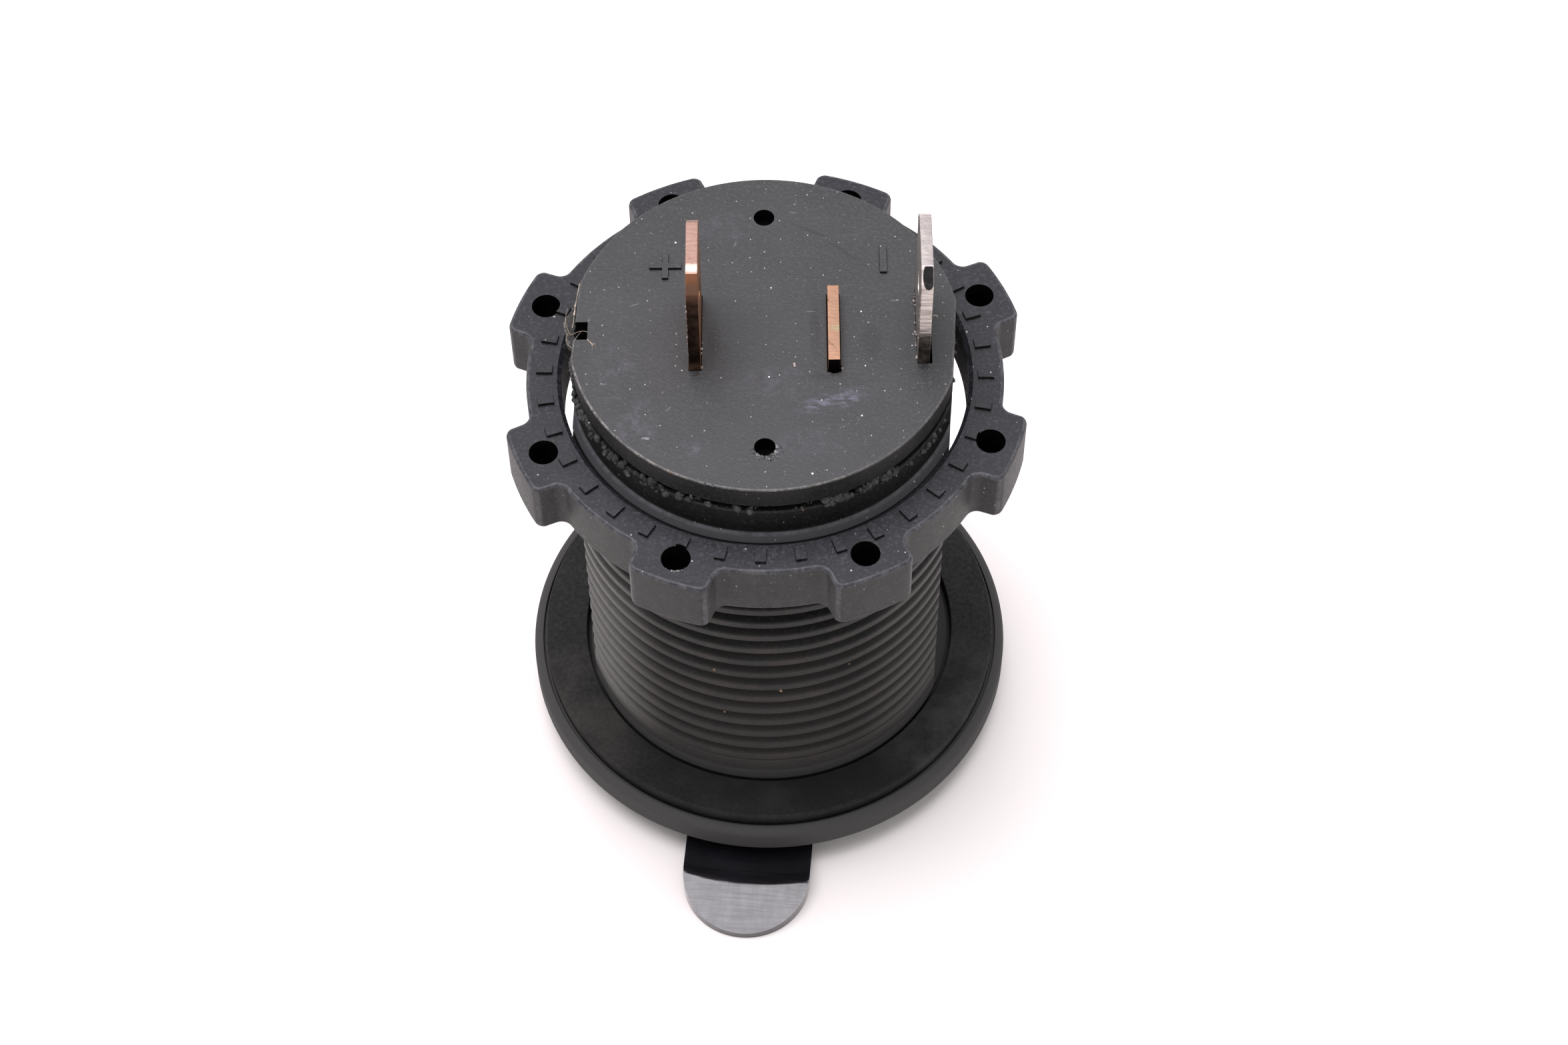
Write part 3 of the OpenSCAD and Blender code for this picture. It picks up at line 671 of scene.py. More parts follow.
# Wear and painted highlight: the rim's rounding is made pale, most at the front left.
wear_and_highlight = rim.times(rim.ramp(rim.noise(0.0008, 7, 0.8), 0.42, 0.62, 0.08, 0.85),
                 rim.ramp(rim.noise(0.0035, 3, 0.6), 0.38, 0.58, 0.35, 1.0),
                 rim.ramp(rim.blot((-8, -11, COVER_BACK), (17, 15, 9)), 0.0, 1.0, 0.3, 1.0))
rim.coat(wear_and_highlight, (0.26, 0.235, 0.22))
cover_rim = rim.done()


def nylon(name, low, high, wear=0.0, chafe=PALE_DUST, specular=0.3, grainy=0.4):
    """Dusty black nylon between two shades; wear is how much of it is chafed pale."""
    made = mottled(name, low, high, specular, grainy)
    if wear:
        made.coat(made.ramp(made.noise(0.0007, 6, 0.7), 0.42, 0.66, 0.0, wear), chafe)
    made.coat(made.specks(0.0004, 0.00008, 0.5), (0.11, 0.105, 0.10))
    made.coat(made.specks(0.0007, 0.00014, 0.55), PALE_DUST)
    return made.done()


# Painted shade: a darker copy of the cover nylon, for walls, sign sides and pad walls.
shaded_side = nylon("shaded_side", (0.005, 0.005, 0.005), (0.009, 0.009, 0.009), specular=0.2)
hollow = Finish("hollow_dark", (0.002, 0.002, 0.002), Roughness=0.9, Specular_IOR_Level=0.0)
hollow.coat(hollow.ramp(hollow.noise(0.001), 0.3, 0.7), (0.005, 0.005, 0.005))
hollow_dark = hollow.done()

# %% [markdown]
# ## The rear cover
# A disc with a spigot under it, welded into the barrel. It is spun with its pole closed, and then
# machined by Booleans, as the mould would leave it: three slots that hug their blades, the pocket of
# the copper bracket, two round pits and a small square notch at the rim. The stub's slot gapes at its
# near end, where a rod leaves it ragged. Its pieces sit in the turned frame of the terminals, so the
# whole is turned at the end, and the flats are cut last.

# %% Rear cover
SPIGOT_R, WELD_R, WELD_HIGH = 11.05, 12.8, COVER_BACK - 1.8
POSITIVE_X, POSITIVE_Y = 4.66, -0.25
NEGATIVE_X, NEGATIVE_Y = 10.65, 0.2
POCKET_TOP, POCKET_GAP = 33.8, 0.15
PIT_AT, PIT_R = 9.75, 0.72
below, above = cover_low.z - 1, COVER_BACK + 1
cover = turned("cover_disc", [
    (0, cover_low.z), (SPIGOT_R, cover_low.z), (SPIGOT_R, BARREL_END), (WELD_R, BARREL_END),
    (WELD_R, WELD_HIGH), (COVER_R, WELD_HIGH), (COVER_R, COVER_BACK), (0, COVER_BACK)], 240)


def slot_block(x, y, left, right, near=0.05, far=0.05):
    """A slot round a blade, with a gap on each of its four sides."""
    return block("slot", (x - BLADE_T / 2 - left, y - BLADE_W / 2 - near, below),
                 (x + BLADE_T / 2 + right, y + BLADE_W / 2 + far, above))


slots = [slot_block(-POSITIVE_X, POSITIVE_Y, 0.04, 0.06),
         slot_block(POSITIVE_X, POSITIVE_Y, 0.07, 0.07, 0.25),
         slot_block(NEGATIVE_X, NEGATIVE_Y, 0.03, 0.2, 0.03),
         rod("ragged_end", (POSITIVE_X + 0.03, POSITIVE_Y - BLADE_W / 2 + 0.14), 0.5, below, above, sides=14)]
pocket_x, pocket_y = POSITIVE_X + BLADE_T / 2 + POCKET_GAP, BLADE_W / 2 + POCKET_GAP
pocket = block("pocket", (-pocket_x, POSITIVE_Y - pocket_y, below),
               (pocket_x, POSITIVE_Y + pocket_y, POCKET_TOP))
pits = [rod("pit", (0, y), PIT_R, COVER_BACK - 1.2, above, sides=40) for y in (-PIT_AT, PIT_AT)]
notch = block("notch", (-14, -0.75, WELD_HIGH - 1), (-11.95, 0.75, above))
combine(cover, [*slots, pocket, *pits, notch])
turn_z(cover, TERMINAL_TURN)
combine(cover, beyond_flats(below, above))

# %% [markdown]
# The finishes go on by the place and direction of each face: what looks sideways or down gets the wall's
# finish, painted darker as shade, what lies deep in a hole the dark one. The two rims are rounded last, and
# their rounding takes the rim's finish of wear and painted highlight.

# %% Painting and rounding the cover
dress(cover, [cover_black, cover_rim, shaded_side, hollow_dark])
paint_faces(cover, 2, lambda face: face.normal.z < 0.3)
paint_faces(cover, 3, lambda face: face.center.z < COVER_BACK - 0.1 and face.normal.z > -0.3
            and math.hypot(face.center.x, face.center.y) < 12.6)
with editing(cover):
    clean(0.02)
for width, height in ((0.13, COVER_BACK), (0.06, WELD_HIGH)):
    bevel_where(cover, lambda p: abs(p.z - height) < 0.01 and math.hypot(p.x, p.y) > 12.7, width, 2, 1)
finish_piece(cover, "socket_body", stands_for=["rear_cover"])

# %% [markdown]
# ## The plus and minus signs
# Both signs stand a fifth of a millimetre proud of the cover, which is why their near edges draw a dark line in
# flat light; their sides also take the darker wall finish, painted shade, and painted dark lines on the cover
# frame the minus. A plus is two crossed bars joined into one, a minus is a single bar.

# %% Signs
sign_low, sign_high = COVER_BACK - 0.1, COVER_BACK + 0.2
x, y, PLUS_REACH, PLUS_HALF = -6.77, 5.44, 1.1, 0.215
plus, upright = [block(name, (x - w, y - h, sign_low), (x + w, y + h, sign_high)) for name, w, h in (
    ("plus_sign", PLUS_REACH, PLUS_HALF), ("upright", PLUS_HALF, PLUS_REACH))]
combine(plus, [upright], "UNION")
minus = block("minus_sign", (7.91, 4.76, sign_low), (8.39, 7.04, sign_high))
# Painted shade: the signs' sides take the darker wall finish.
for sign in (plus, minus):
    dress(sign, [cover_black, shaded_side])
    paint_faces(sign, 1, lambda face: abs(face.normal.z) < 0.3)
    soften(sign, 0.02, 1)
    turn_z(sign, TERMINAL_TURN)
    finish_piece(sign, "socket_body")

# %% [markdown]
# ## The ring nut
# The nut is a moulded ring with eight lugs, drilled for a pin wrench. Its outline repeats eight
# times: a lug tip with round corners, a hollow, a stretch of ring, a hollow. Only one eighth is drawn
# and the rest are turned copies. The top and bottom of this plate are rounded first, while it has
# nothing else on it that a wide Bevel could spoil.

# %% The nut's finish and its plate
nut_top_black = nylon("nut_top", (0.0078, 0.0078, 0.0100), (0.0134, 0.0134, 0.0167), grainy=0.65)
# The edge finish is lighter than the top: chafe, and a painted highlight along the rounded edges.
nut_edge = nylon("nut_edge_wear_and_highlight", (0.019, 0.019, 0.0225), (0.037, 0.0365, 0.042), 0.42, (0.12, 0.116, 0.12))
nut_side = nylon("nut_side", (0.0060, 0.0061, 0.0063), (0.0138, 0.0137, 0.0138), 0.25,
                 (0.05, 0.047, 0.045), grainy=0.75)

NUT_TURN = math.radians(29)
NUT_R, NUT_BORE_R, PAD_H = 16.45, 14.02, 0.25
LUG_R, LUG_HALF, LUG_CORNER, LUG_HOLLOW, LUGS = 18.35, 2.85, 0.7, 0.8, 8
nut_top = nut_high.z - PAD_H


def arc(centre, radius, first, last, steps=6):
    """Points of an arc, without its last point."""
    return [polar(radius, first + (last - first) * s / steps, centre) for s in range(steps)]


def lug_outline():
    """One eighth of the nut's outline, centred on a lug that points along +X."""
    hollow_y = LUG_HALF + LUG_HOLLOW
    hollow_x = math.sqrt((NUT_R + LUG_HOLLOW) ** 2 - hollow_y ** 2)
    corner_y = LUG_HALF - LUG_CORNER
    corner_x = math.sqrt((LUG_R - LUG_CORNER) ** 2 - corner_y ** 2)
    foot, tip = math.atan2(hollow_y, hollow_x), math.atan2(corner_y, corner_x)
    half = [*arc((0, 0), LUG_R, 0, tip), *arc((corner_x, corner_y), LUG_CORNER, tip, math.pi / 2),
            *arc((hollow_x, hollow_y), LUG_HOLLOW, -math.pi / 2, foot - math.pi),
            *arc((0, 0), NUT_R, foot, math.pi / LUGS)]
    return [(x, -y) for x, y in reversed(half[1:])] + half


outline = [about_axis(x, y, math.tau * lug / LUGS) for lug in range(LUGS) for x, y in lug_outline()]
nut = dress(plate("ring_nut_body", outline, nut_low.z, nut_top),
            [nut_top_black, nut_edge, nut_side, hollow_dark, shaded_side])
for height in (nut_low.z, nut_top):
    bevel_where(nut, lambda p: abs(p.z - height) < 0.01, 0.24, 3, 1)

# %% [markdown]
# Thirty-six small pads stand round the nut's face, to be counted while it is turned. One is a block,
# and the others are made like it, each turned to its place. They are joined to the plate, which is
# then bored and drilled.

# %% Pads, bore and holes of the nut
PADS, PAD_IN, PAD_OUT, PAD_HALF = 36, 14.64, 15.74, 0.36
pads = [turn_z(block(f"pad_{i}", (PAD_IN, -PAD_HALF, nut_top - 0.2), (PAD_OUT, PAD_HALF, nut_top + PAD_H)),
               (i + 0.5) * math.tau / PADS) for i in range(PADS)]
combine(nut, [joined("pads", pads)], "UNION")

HOLE_R, HOLE_AT = 1.0, 16.4
HOLES = [polar(HOLE_AT, math.tau * i / LUGS) for i in range(LUGS)]
bore = turned("bore", [
    (0, nut_low.z - 1), (NUT_BORE_R + 1, nut_low.z - 1), (NUT_BORE_R + 0.3, nut_low.z),
    (NUT_BORE_R, nut_low.z + 0.3), (NUT_BORE_R, nut_top - 0.3), (NUT_BORE_R + 0.3, nut_top),
    (NUT_BORE_R + 1, nut_top + 1), (0, nut_top + 1)], 240)
combine(nut, [bore, *[rod("hole", hole, HOLE_R, nut_low.z - 1, nut_top + 1, sides=32) for hole in HOLES]])

# %% [markdown]
# The walls, the corners of the lugs that a wrench has worn, and the walls of the holes and pads each get their
# slot; the pads' walls take the darker wall finish, painted shade at their feet. A fine Bevel rounds all the
# edges that are still sharp, and its rounding takes the edge finish, chafe with a painted highlight.

# %% Painting and rounding the nut
def on_lug_corner(face):
    """The middle of the round corner at either side of a lug's tip."""
    x, y = face.center.x, face.center.y
    lug = math.tau / LUGS * round(math.atan2(y, x) / (math.tau / LUGS))
    lean = abs(math.remainder(math.atan2(face.normal.y, face.normal.x) - lug, math.tau))
    return abs(face.normal.z) < 0.2 and math.hypot(x, y) > LUG_R - 1 and 0.6 < lean < 1.1


def in_hole(face):
    return abs(face.normal.z) < 0.3 and any(
        math.hypot(face.center.x - x, face.center.y - y) < HOLE_R + 0.05 for x, y in HOLES)


def on_pad_wall(face):
    from_axis = math.hypot(face.center.x, face.center.y)
    above_plate = face.center.z > nut_top - 0.02 and face.normal.z < 0.98
    return above_plate and PAD_IN - 0.2 < from_axis < PAD_OUT + 0.2


paint_faces(nut, 2, lambda face: abs(face.normal.z) < 0.2)
paint_faces(nut, 1, on_lug_corner)
paint_faces(nut, 3, in_hole)
turn_z(nut, NUT_TURN)
soften(nut, 0.1, 2, 38, slot=1)
# Painted shade: the pads' walls take the darker wall finish.
paint_faces(nut, 4, on_pad_wall)
finish_piece(nut, "nut", stands_for=["ring_nut"])

# %% [markdown]
# ## The metals
# The bracket of the plus side is copper strip: orange on its broad faces, darker at the blade's end with a pale
# painted glint at its top, brown spots and green verdigris on it. Sheared edges keep the marks of the die and
# most of the tarnish, and their much darker finish is also painted shade, as they look down at the dark cover;
# it brightens towards the tip, and the edges of the short leg, just above the cover, are painted near black as
# shade. A stretched noise gives fine lines across the thickness.

# %% The finish of the copper bracket
copper = Finish("contact_copper", (0.50, 0.23, 0.125), -TERMINAL_TURN, Metallic=1.0)
patina = copper.noise(0.0014, 6, 0.65)
copper.coat(copper.ramp(patina, 0.35, 0.7), (0.37, 0.18, 0.10))
copper.coat(copper.span(copper.along("Z"), 45.7, 45.9), (0.29, 0.18, 0.15))
# Painted highlight: a pale glint on the top of the plus blade's end.
copper.coat(copper.blot((-4.66, -1.95, 46), (1.2, 0.5, 0.6)), (0.60, 0.47, 0.41))
copper.coat(copper.blot((4.66, -0.25, 38), (1.5, 6.0, 0.3)), (0.28, 0.165, 0.112))
copper.coat(copper.ramp(copper.noise(0.0007, 5, 0.6), 0.6, 0.7, 0.0, 0.75), (0.11, 0.06, 0.04))
copper.coat(copper.ramp(copper.noise(0.0012, 4, 0.6), 0.60, 0.72, 0.0, 0.45), (0.24, 0.26, 0.15))
copper.relief(copper.noise(0.0002, 4, 0.6, (0.3, 1, 1)), 0.00002, 0.6)
contact_copper = copper.done(copper.ramp(patina, 0.3, 0.8, 0.36, 0.56))

# The edges' dark finish is partly tarnish and partly painted shade.
copper = Finish("copper_sheared_edge", (0.026, 0.015, 0.011), -TERMINAL_TURN, Metallic=1.0)
up, shear = copper.along("Z"), copper.noise(0.0009, 7, 0.7)
copper.coat(copper.ramp(shear, 0.35, 0.7), (0.075, 0.043, 0.029))
copper.coat(copper.span(up, 43.6, 45.1), (0.15, 0.082, 0.055))
copper.coat(copper.span(up, 45.3, 45.8), (0.26, 0.11, 0.06))
on_blade = copper.span(copper.along("X"), 1, -1)
copper.coat(copper.times(on_blade, copper.span(up, 37.9, 37.3, 0.0, 0.6)), (0.30, 0.17, 0.10))
# Painted shade: the short leg's edges are made near black.
copper.coat(copper.calc("SUBTRACT", 1.0, on_blade), (0.012, 0.009, 0.008))
copper.relief(shear, 0.00003, 0.5)
copper_edge = copper.done(copper.ramp(shear, 0.3, 0.7, 0.4, 0.6))

# %% [markdown]
# The minus blade and the sleeve are tinned steel, silvery with a faint warm tone. The blade's edge is painted
# dark, as the dark cover that it mirrors, and its upper half bright with die lines, a painted reflection of the
# lamp above; a dark patch of soot lies on the bevel of its end. The border between dark and bright is a height
# that the lines push up and down, so that it is ragged.

# %% The finish of the tinned blade and sleeve
tin = Finish("tinned_strip", (0.56, 0.52, 0.49), -TERMINAL_TURN, Metallic=1.0)
patina = tin.noise(0.0015, 6, 0.6)
tin.coat(tin.ramp(patina, 0.35, 0.75), (0.42, 0.38, 0.35))
tin.coat(tin.ramp(tin.noise(0.0009, 5, 0.65), 0.56, 0.68, 0.0, 0.7), (0.12, 0.09, 0.075))
tin.coat(tin.span(tin.along("Z"), 45.8, 45.95), (0.35, 0.315, 0.30))
tin.relief(tin.noise(0.00012, 3, 0.6, (0.15, 0.15, 1)), 0.00004, 0.6)
tinned = tin.done(tin.ramp(patina, 0.3, 0.8, 0.3, 0.5))

# Painted shade: the edge's dark base stands for the dark cover that it mirrors.
tin = Finish("tinned_sheared_edge", (0.010, 0.008, 0.007), -TERMINAL_TURN, Metallic=0.35)
lines = tin.noise(0.0002, 4, 0.7, (0.08, 0.3, 1))
mottle = tin.noise(0.0006, 6, 0.7)
tin.coat(tin.ramp(mottle, 0.4, 0.7), (0.09, 0.07, 0.058))
bright = tin.tint(tin.ramp(lines, 0.38, 0.62), (0.40, 0.34, 0.31), (0.80, 0.71, 0.67))
level = tin.calc("ADD", tin.along("Z"), tin.calc("MULTIPLY", lines, 0.0016))
# Painted reflection: the upper half of the edge is made bright, as it mirrors the lamp above.
tin.coat(tin.span(level, 40.2, 41.9), bright)
soot = tin.tint(tin.ramp(mottle, 0.5, 0.75), (0.006, 0.005, 0.0045), (0.05, 0.04, 0.033))
tin.coat(tin.ramp(tin.blot((10.74, -2.45, 45.5), (0.46, 1.1, 1.1)), 0.12, 0.22), soot)
tin.relief(lines, 0.00005, 0.8)
tinned_edge = tin.done(tin.ramp(mottle, 0.3, 0.8, 0.35, 0.55))

# %% [markdown]
# ## The copper bracket
# One strip bent to a U: a long leg that is the plus blade, a base with a dome that meets the plug's
# tip, and a short leg that is cut off just above the cover. Seen from the side it is a single bent
# outline, so it is drawn that way and extruded across its width. Wedges then bevel the blade's end,
# and a rod punches the detent hole. The dome is a flattened ball, joined to the base.

# %% Copper bracket
BEND_IN, BEND_OUT = 0.15, 0.95
BASE_LOW, STUB_TOP = POCKET_TOP - BLADE_T, COVER_BACK + 1.1
leg_in, leg_out = POSITIVE_X - BLADE_T / 2, POSITIVE_X + BLADE_T / 2
bracket = plate("copper_bracket", rounded([
    (-leg_out, BASE_LOW, BEND_OUT), (leg_out, BASE_LOW, BEND_OUT), (leg_out, STUB_TOP, 0),
    (leg_in, STUB_TOP, 0), (leg_in, POCKET_TOP, BEND_IN), (-leg_in, POCKET_TOP, BEND_IN),
    (-leg_in, BLADE_END, 0), (-leg_out, BLADE_END, 0)]),
    POSITIVE_Y - BLADE_W / 2, POSITIVE_Y + BLADE_W / 2, "Y")
END_BEVEL, DETENT_Z, DETENT_R = 1.0, BLADE_END - 4.4, 0.85


def blade_tools(x, y):
    """Two wedges that bevel the corners of a blade's end, and the punch of its detent hole."""
    made = []
    for side in (-1, 1):
        edge = y + side * BLADE_W / 2
        inner, outer = edge - side * END_BEVEL, edge + side
        made.append(plate("wedge", [
            (inner, BLADE_END), (edge, BLADE_END - END_BEVEL), (outer, BLADE_END - 2 * END_BEVEL),
            (outer, BLADE_END + 1), (inner, BLADE_END + 1)], x - 1, x + 1, "X"))
    return [*made, rod("detent", (y, DETENT_Z), DETENT_R, x - 1, x + 1, "X", 32)]


def sheared(face):
    """Edges and bevels of a strip look along Y; its broad faces look along X."""
    return abs(face.normal.y) > 0.6


combine(bracket, blade_tools(-POSITIVE_X, POSITIVE_Y))
DOME_R, DOME_H, DOME_SUNK = 2.3, 0.8, 0.05
bpy.ops.object.select_all(action="DESELECT")
bpy.ops.mesh.primitive_uv_sphere_add(segments=48, ring_count=24, radius=DOME_R,
                                     location=(0, POSITIVE_Y, BASE_LOW + DOME_SUNK))
dome = bpy.context.active_object
dome.scale.z = (DOME_H + DOME_SUNK) / DOME_R
bpy.ops.object.transform_apply(location=True, rotation=True, scale=True)
combine(bracket, [dome], "UNION")
dress(bracket, [contact_copper, copper_edge])
paint_faces(bracket, 1, lambda face: sheared(face) and face.center.z > POCKET_TOP)
soften(bracket, 0.045, 2, 35)
turn_z(bracket, TERMINAL_TURN)
finish_piece(bracket, "socket_body", stands_for=["positive_contact"])

# %% [markdown]
# ## The minus blade and the contact sleeve
# On the real part both are one stamping: the blade runs straight up out of the sleeve's wall. The
# sleeve is spun with its lead-in, and three spring tongues are freed by U-shaped slots. A slot tool
# is a thick U, made from a block with a smaller block taken out of it.

# %% Minus blade and sleeve
ROOT_LOW = 28.0
blade = block("minus_blade", (NEGATIVE_X - BLADE_T / 2, NEGATIVE_Y - BLADE_W / 2, ROOT_LOW),
              (NEGATIVE_X + BLADE_T / 2, NEGATIVE_Y + BLADE_W / 2, BLADE_END))
combine(blade, blade_tools(NEGATIVE_X, NEGATIVE_Y))
paint_faces(dress(blade, [tinned, tinned_edge]), 1, sheared)
soften(blade, 0.045, 2, 35)

BORE_R, SLEEVE_R, SLEEVE_FRONT, SLEEVE_BACK = 10.5, 11.1, -2.2, 32.0
sleeve = turned("contact_sleeve_tube", [
    (BORE_R + 0.25, SLEEVE_FRONT), (SLEEVE_R, SLEEVE_FRONT), (SLEEVE_R, SLEEVE_BACK),
    (BORE_R, SLEEVE_BACK), (BORE_R, SLEEVE_FRONT + 2)])
TONGUES, TONGUE_HALF, TONGUE_L, TONGUE_SLOT, TONGUE_Z = 3, 1.8, 9.0, 0.6, SLEEVE_FRONT + 8
for i in range(TONGUES):
    wide = TONGUE_HALF + TONGUE_SLOT
    u_slot = block("u_slot", (BORE_R - 1, -wide, TONGUE_Z), (SLEEVE_R + 1, wide, TONGUE_Z + TONGUE_L))
    combine(u_slot, [block("tongue", (BORE_R - 2, -TONGUE_HALF, TONGUE_Z + TONGUE_SLOT),
                           (SLEEVE_R + 2, TONGUE_HALF, TONGUE_Z + TONGUE_L + 1))])
    combine(sleeve, [turn_z(u_slot, (i + 0.5) * math.tau / TONGUES)])
for piece, materials in ((blade, []), (sleeve, [tinned])):
    turn_z(piece, TERMINAL_TURN)
    finish_piece(piece, "socket_body", materials, ["contact_sleeve"])

# %% [markdown]
# ## The dust cap
# The cap is a polished lid with a finger tab, a plug ring inside and a knuckle for its hinge. Gloss
# black is almost all reflection: the tab mirrors the dark flange above it and, beyond that, the white
# room. Fine wiping scratches and soft waves break that mirror a little. The lid is spun, the tab and
# the arm are plates, and Booleans weld them after their edges are rounded. A turned cone cuts the
# tab's falling back, from a crease to its thin tip.

# %% The finish of the cap
gloss = Finish("cap_gloss", (0.004, 0.004, 0.005), Specular_IOR_Level=0.3, Coat_Roughness=0.08,
               Coat_Tint=(1, 0.955, 1, 1))
gloss.coat(gloss.ramp(gloss.noise(0.005, 5, 0.6), 0.4, 0.8), (0.008, 0.008, 0.010))
wipes = gloss.noise(0.00012, 4, 0.6, (0.04, 1, 1), 0.05)
waves = gloss.noise(0.0007, 4, 0.7, (1, 0.2, 1), 0.1)
shine = gloss.times(gloss.ramp(wipes, 0.35, 0.65, 1.0, 0.8), gloss.ramp(waves, 0.3, 0.65, 1.0, 0.78))
gloss.wire(shine, "Coat Weight")
gloss.relief(wipes, 0.000006, 0.6)
cap_gloss = gloss.done(gloss.ramp(wipes, 0.3, 0.75, 0.08, 0.26))

# %% Dust cap
LID_R, LID_FACE, LID_BACK = cap_high.x, cap_low.z, -3.35
PLUG_R, PLUG_IN, PLUG_TOP = 9.9, 8.5, cap_high.z
cap = turned("cap_lid", rounded([
    (0, LID_FACE, 0), (LID_R, LID_FACE, 0.9), (LID_R, LID_BACK, 0.3), (PLUG_R, LID_BACK, 0.15),
    (PLUG_R, PLUG_TOP, 0.45), (PLUG_IN, PLUG_TOP, 0.2), (PLUG_IN, LID_BACK, 0.2), (0, LID_BACK, 0)]), 240)

TAB_HALF, TAB_TOP, TAB_REACH, TAB_ROOT = 4.75, -4.2, cap_low.y, -14
CREASE_R, TAB_TIP = LID_R + 3.5, 0.65
slope = (TAB_TOP - LID_FACE - TAB_TIP) / (-TAB_REACH - CREASE_R)
tab = plate("tab", rounded([
    (-TAB_HALF, TAB_ROOT, 0), (-TAB_HALF, TAB_REACH, TAB_HALF - 0.01),
    (TAB_HALF, TAB_REACH, TAB_HALF - 0.01), (TAB_HALF, TAB_ROOT, 0)], 24), LID_FACE, TAB_TOP)
far = -TAB_REACH + 1
combine(tab, [turned("falling_back", [
    (CREASE_R - 1, TAB_TOP + slope), (far, TAB_TOP - slope * (far - CREASE_R)), (far, TAB_TOP + 1),
    (CREASE_R - 1, TAB_TOP + 1)], 240)])
bevel_where(tab, lambda p: abs(math.hypot(p.x, p.y) - CREASE_R) < 0.03 and p.z > TAB_TOP - 0.05, 0.25, 3)
soften(tab, 0.12, 2, 45)

KNUCKLE_R, KNUCKLE_HALF, EYE_R = 1.5, 2.7, 0.8
arm = plate("arm", rounded([
    (LID_R - 3, LID_FACE, 0), (HINGE_Y + KNUCKLE_R, LID_FACE, KNUCKLE_R - 0.01),
    (HINGE_Y + KNUCKLE_R, HINGE_Z + KNUCKLE_R, KNUCKLE_R - 0.01),
    (HINGE_Y - KNUCKLE_R, HINGE_Z + KNUCKLE_R, KNUCKLE_R - 0.01), (HINGE_Y - KNUCKLE_R, HINGE_Z, 0),
    (LID_R - 3, HINGE_Z, 0)], 8), -KNUCKLE_HALF, KNUCKLE_HALF, "X")
combine(arm, [rod("eye", (HINGE_Y, HINGE_Z), EYE_R, -4, 4, "X")])
combine(cap, [tab, soften(arm, 0.1, 2)], "UNION")
finish_piece(cap, "cap", [cap_gloss], ["dust_cap"])

# %% [markdown]
# ## The hinge pin
# A bit of bright steel wire holds the cap. It is a short rod with chamfered ends, and its finish has
# the fine lines that drawing leaves along a wire.

# %% Hinge pin
steel = Finish("pin_steel", (0.62, 0.61, 0.60), Metallic=1.0)
drawn = steel.noise(0.0001, 3, stretch=(0.05, 1, 1))
steel.coat(drawn, (0.50, 0.49, 0.48))
pin_steel = steel.done(steel.ramp(drawn, 0.2, 0.8, 0.2, 0.4))
pin = rod("steel_pin", (HINGE_Y, HINGE_Z), 0.75, pin_low.x, pin_high.x, "X")
finish_piece(soften(pin, 0.15, 1), "socket_body", [pin_steel], ["hinge_pin"])

# %% [markdown]
# ## Weld flash
# When the cover was welded in, molten nylon was squeezed out of the joint and froze as a broken row of
# crumbs. A crumb is a small ball; all balls of a row are joined and their points pushed about by a
# seeded random shift, so no two look alike. Each row has its own stretch of the joint, height and
# size: dense at the front left, a cluster at the front right, sparse elsewhere, with a few lumps.

# %% Crumbs
draw = random.Random(12)


def crumbs(name, spots, material, body="socket_body", dent=0.02):
    """Dented balls at (x, y, z, size), joined to one piece."""
    balls = []
    for x, y, z, size in spots:
        bpy.ops.object.select_all(action="DESELECT")
        bpy.ops.mesh.primitive_ico_sphere_add(subdivisions=2 if size > 0.42 else 1, radius=size / 2,
                                              location=(x, y, z))
        balls.append(bpy.context.active_object)
        balls[-1].scale = [draw.uniform(0.7, 1.25) for _ in range(3)]
        balls[-1].rotation_euler = [draw.uniform(0, 6.28) for _ in range(3)]
    made = joined(name, balls)
    bpy.ops.object.transform_apply(location=True, rotation=True, scale=True)
    with editing(made):
        bpy.ops.transform.vertex_random(offset=dent, seed=len(spots))
        bpy.ops.mesh.normals_make_consistent(inside=False)
    return finish_piece(made, body, [material], smooth=60)


def on_wall(degrees, r, z):
    """A point at a distance from the axis, drawn in to the flats where they cut the round."""
    angle = math.radians(degrees)
    from_flat = abs(math.cos(angle - FLAT_TURN))
    return *polar(min(r, (FLAT_X + 0.05) / max(from_flat, 0.1)), angle), z


# %% Weld flash
ROWS = [  # first and last angle, count, size, least and most distance, least and most height
    (199, 233, 66, 0.50, 13.15, 13.4, 33.9, 34.5), (188, 200, 14, 0.40, 13.1, 13.3, 34.5, 35.3),
    (193.5, 199, 34, 0.40, 13.1, 13.3, 34.7, 36.2), (223, 246, 36, 0.44, 13.1, 13.36, 33.9, 34.7),
    (246, 303, 44, 0.28, 12.9, 13.25, 34.4, 35.0), (293, 301, 22, 0.44, 13.0, 13.4, 34.4, 35.0),
    (303, 317, 50, 0.52, 13.0, 13.4, 34.4, 34.95), (320, 340, 26, 0.40, 13.2, 13.4, 33.7, 34.3),
    (340, 548, 90, 0.26, 12.85, 13.12, 34.5, 34.95)]
LUMPS = [  # angle, distance, height, size
    (241, 13.2, 34.76, 0.8), (250, 13.2, 34.56, 0.62), (252.9, 13.2, 34.5, 0.55), (258.6, 13.2, 34.57, 0.62),
    (267, 13.15, 34.7, 0.7), (270.7, 13.2, 34.5, 0.55), (292.8, 13.15, 34.9, 0.65), (296.6, 13.1, 34.7, 0.9),
    (298.6, 13.2, 34.6, 0.75), (308, 13.2, 34.65, 0.75), (312, 13.2, 34.6, 0.7)]
spots = [(*on_wall(angle, r, z), size) for angle, r, z, size in LUMPS]
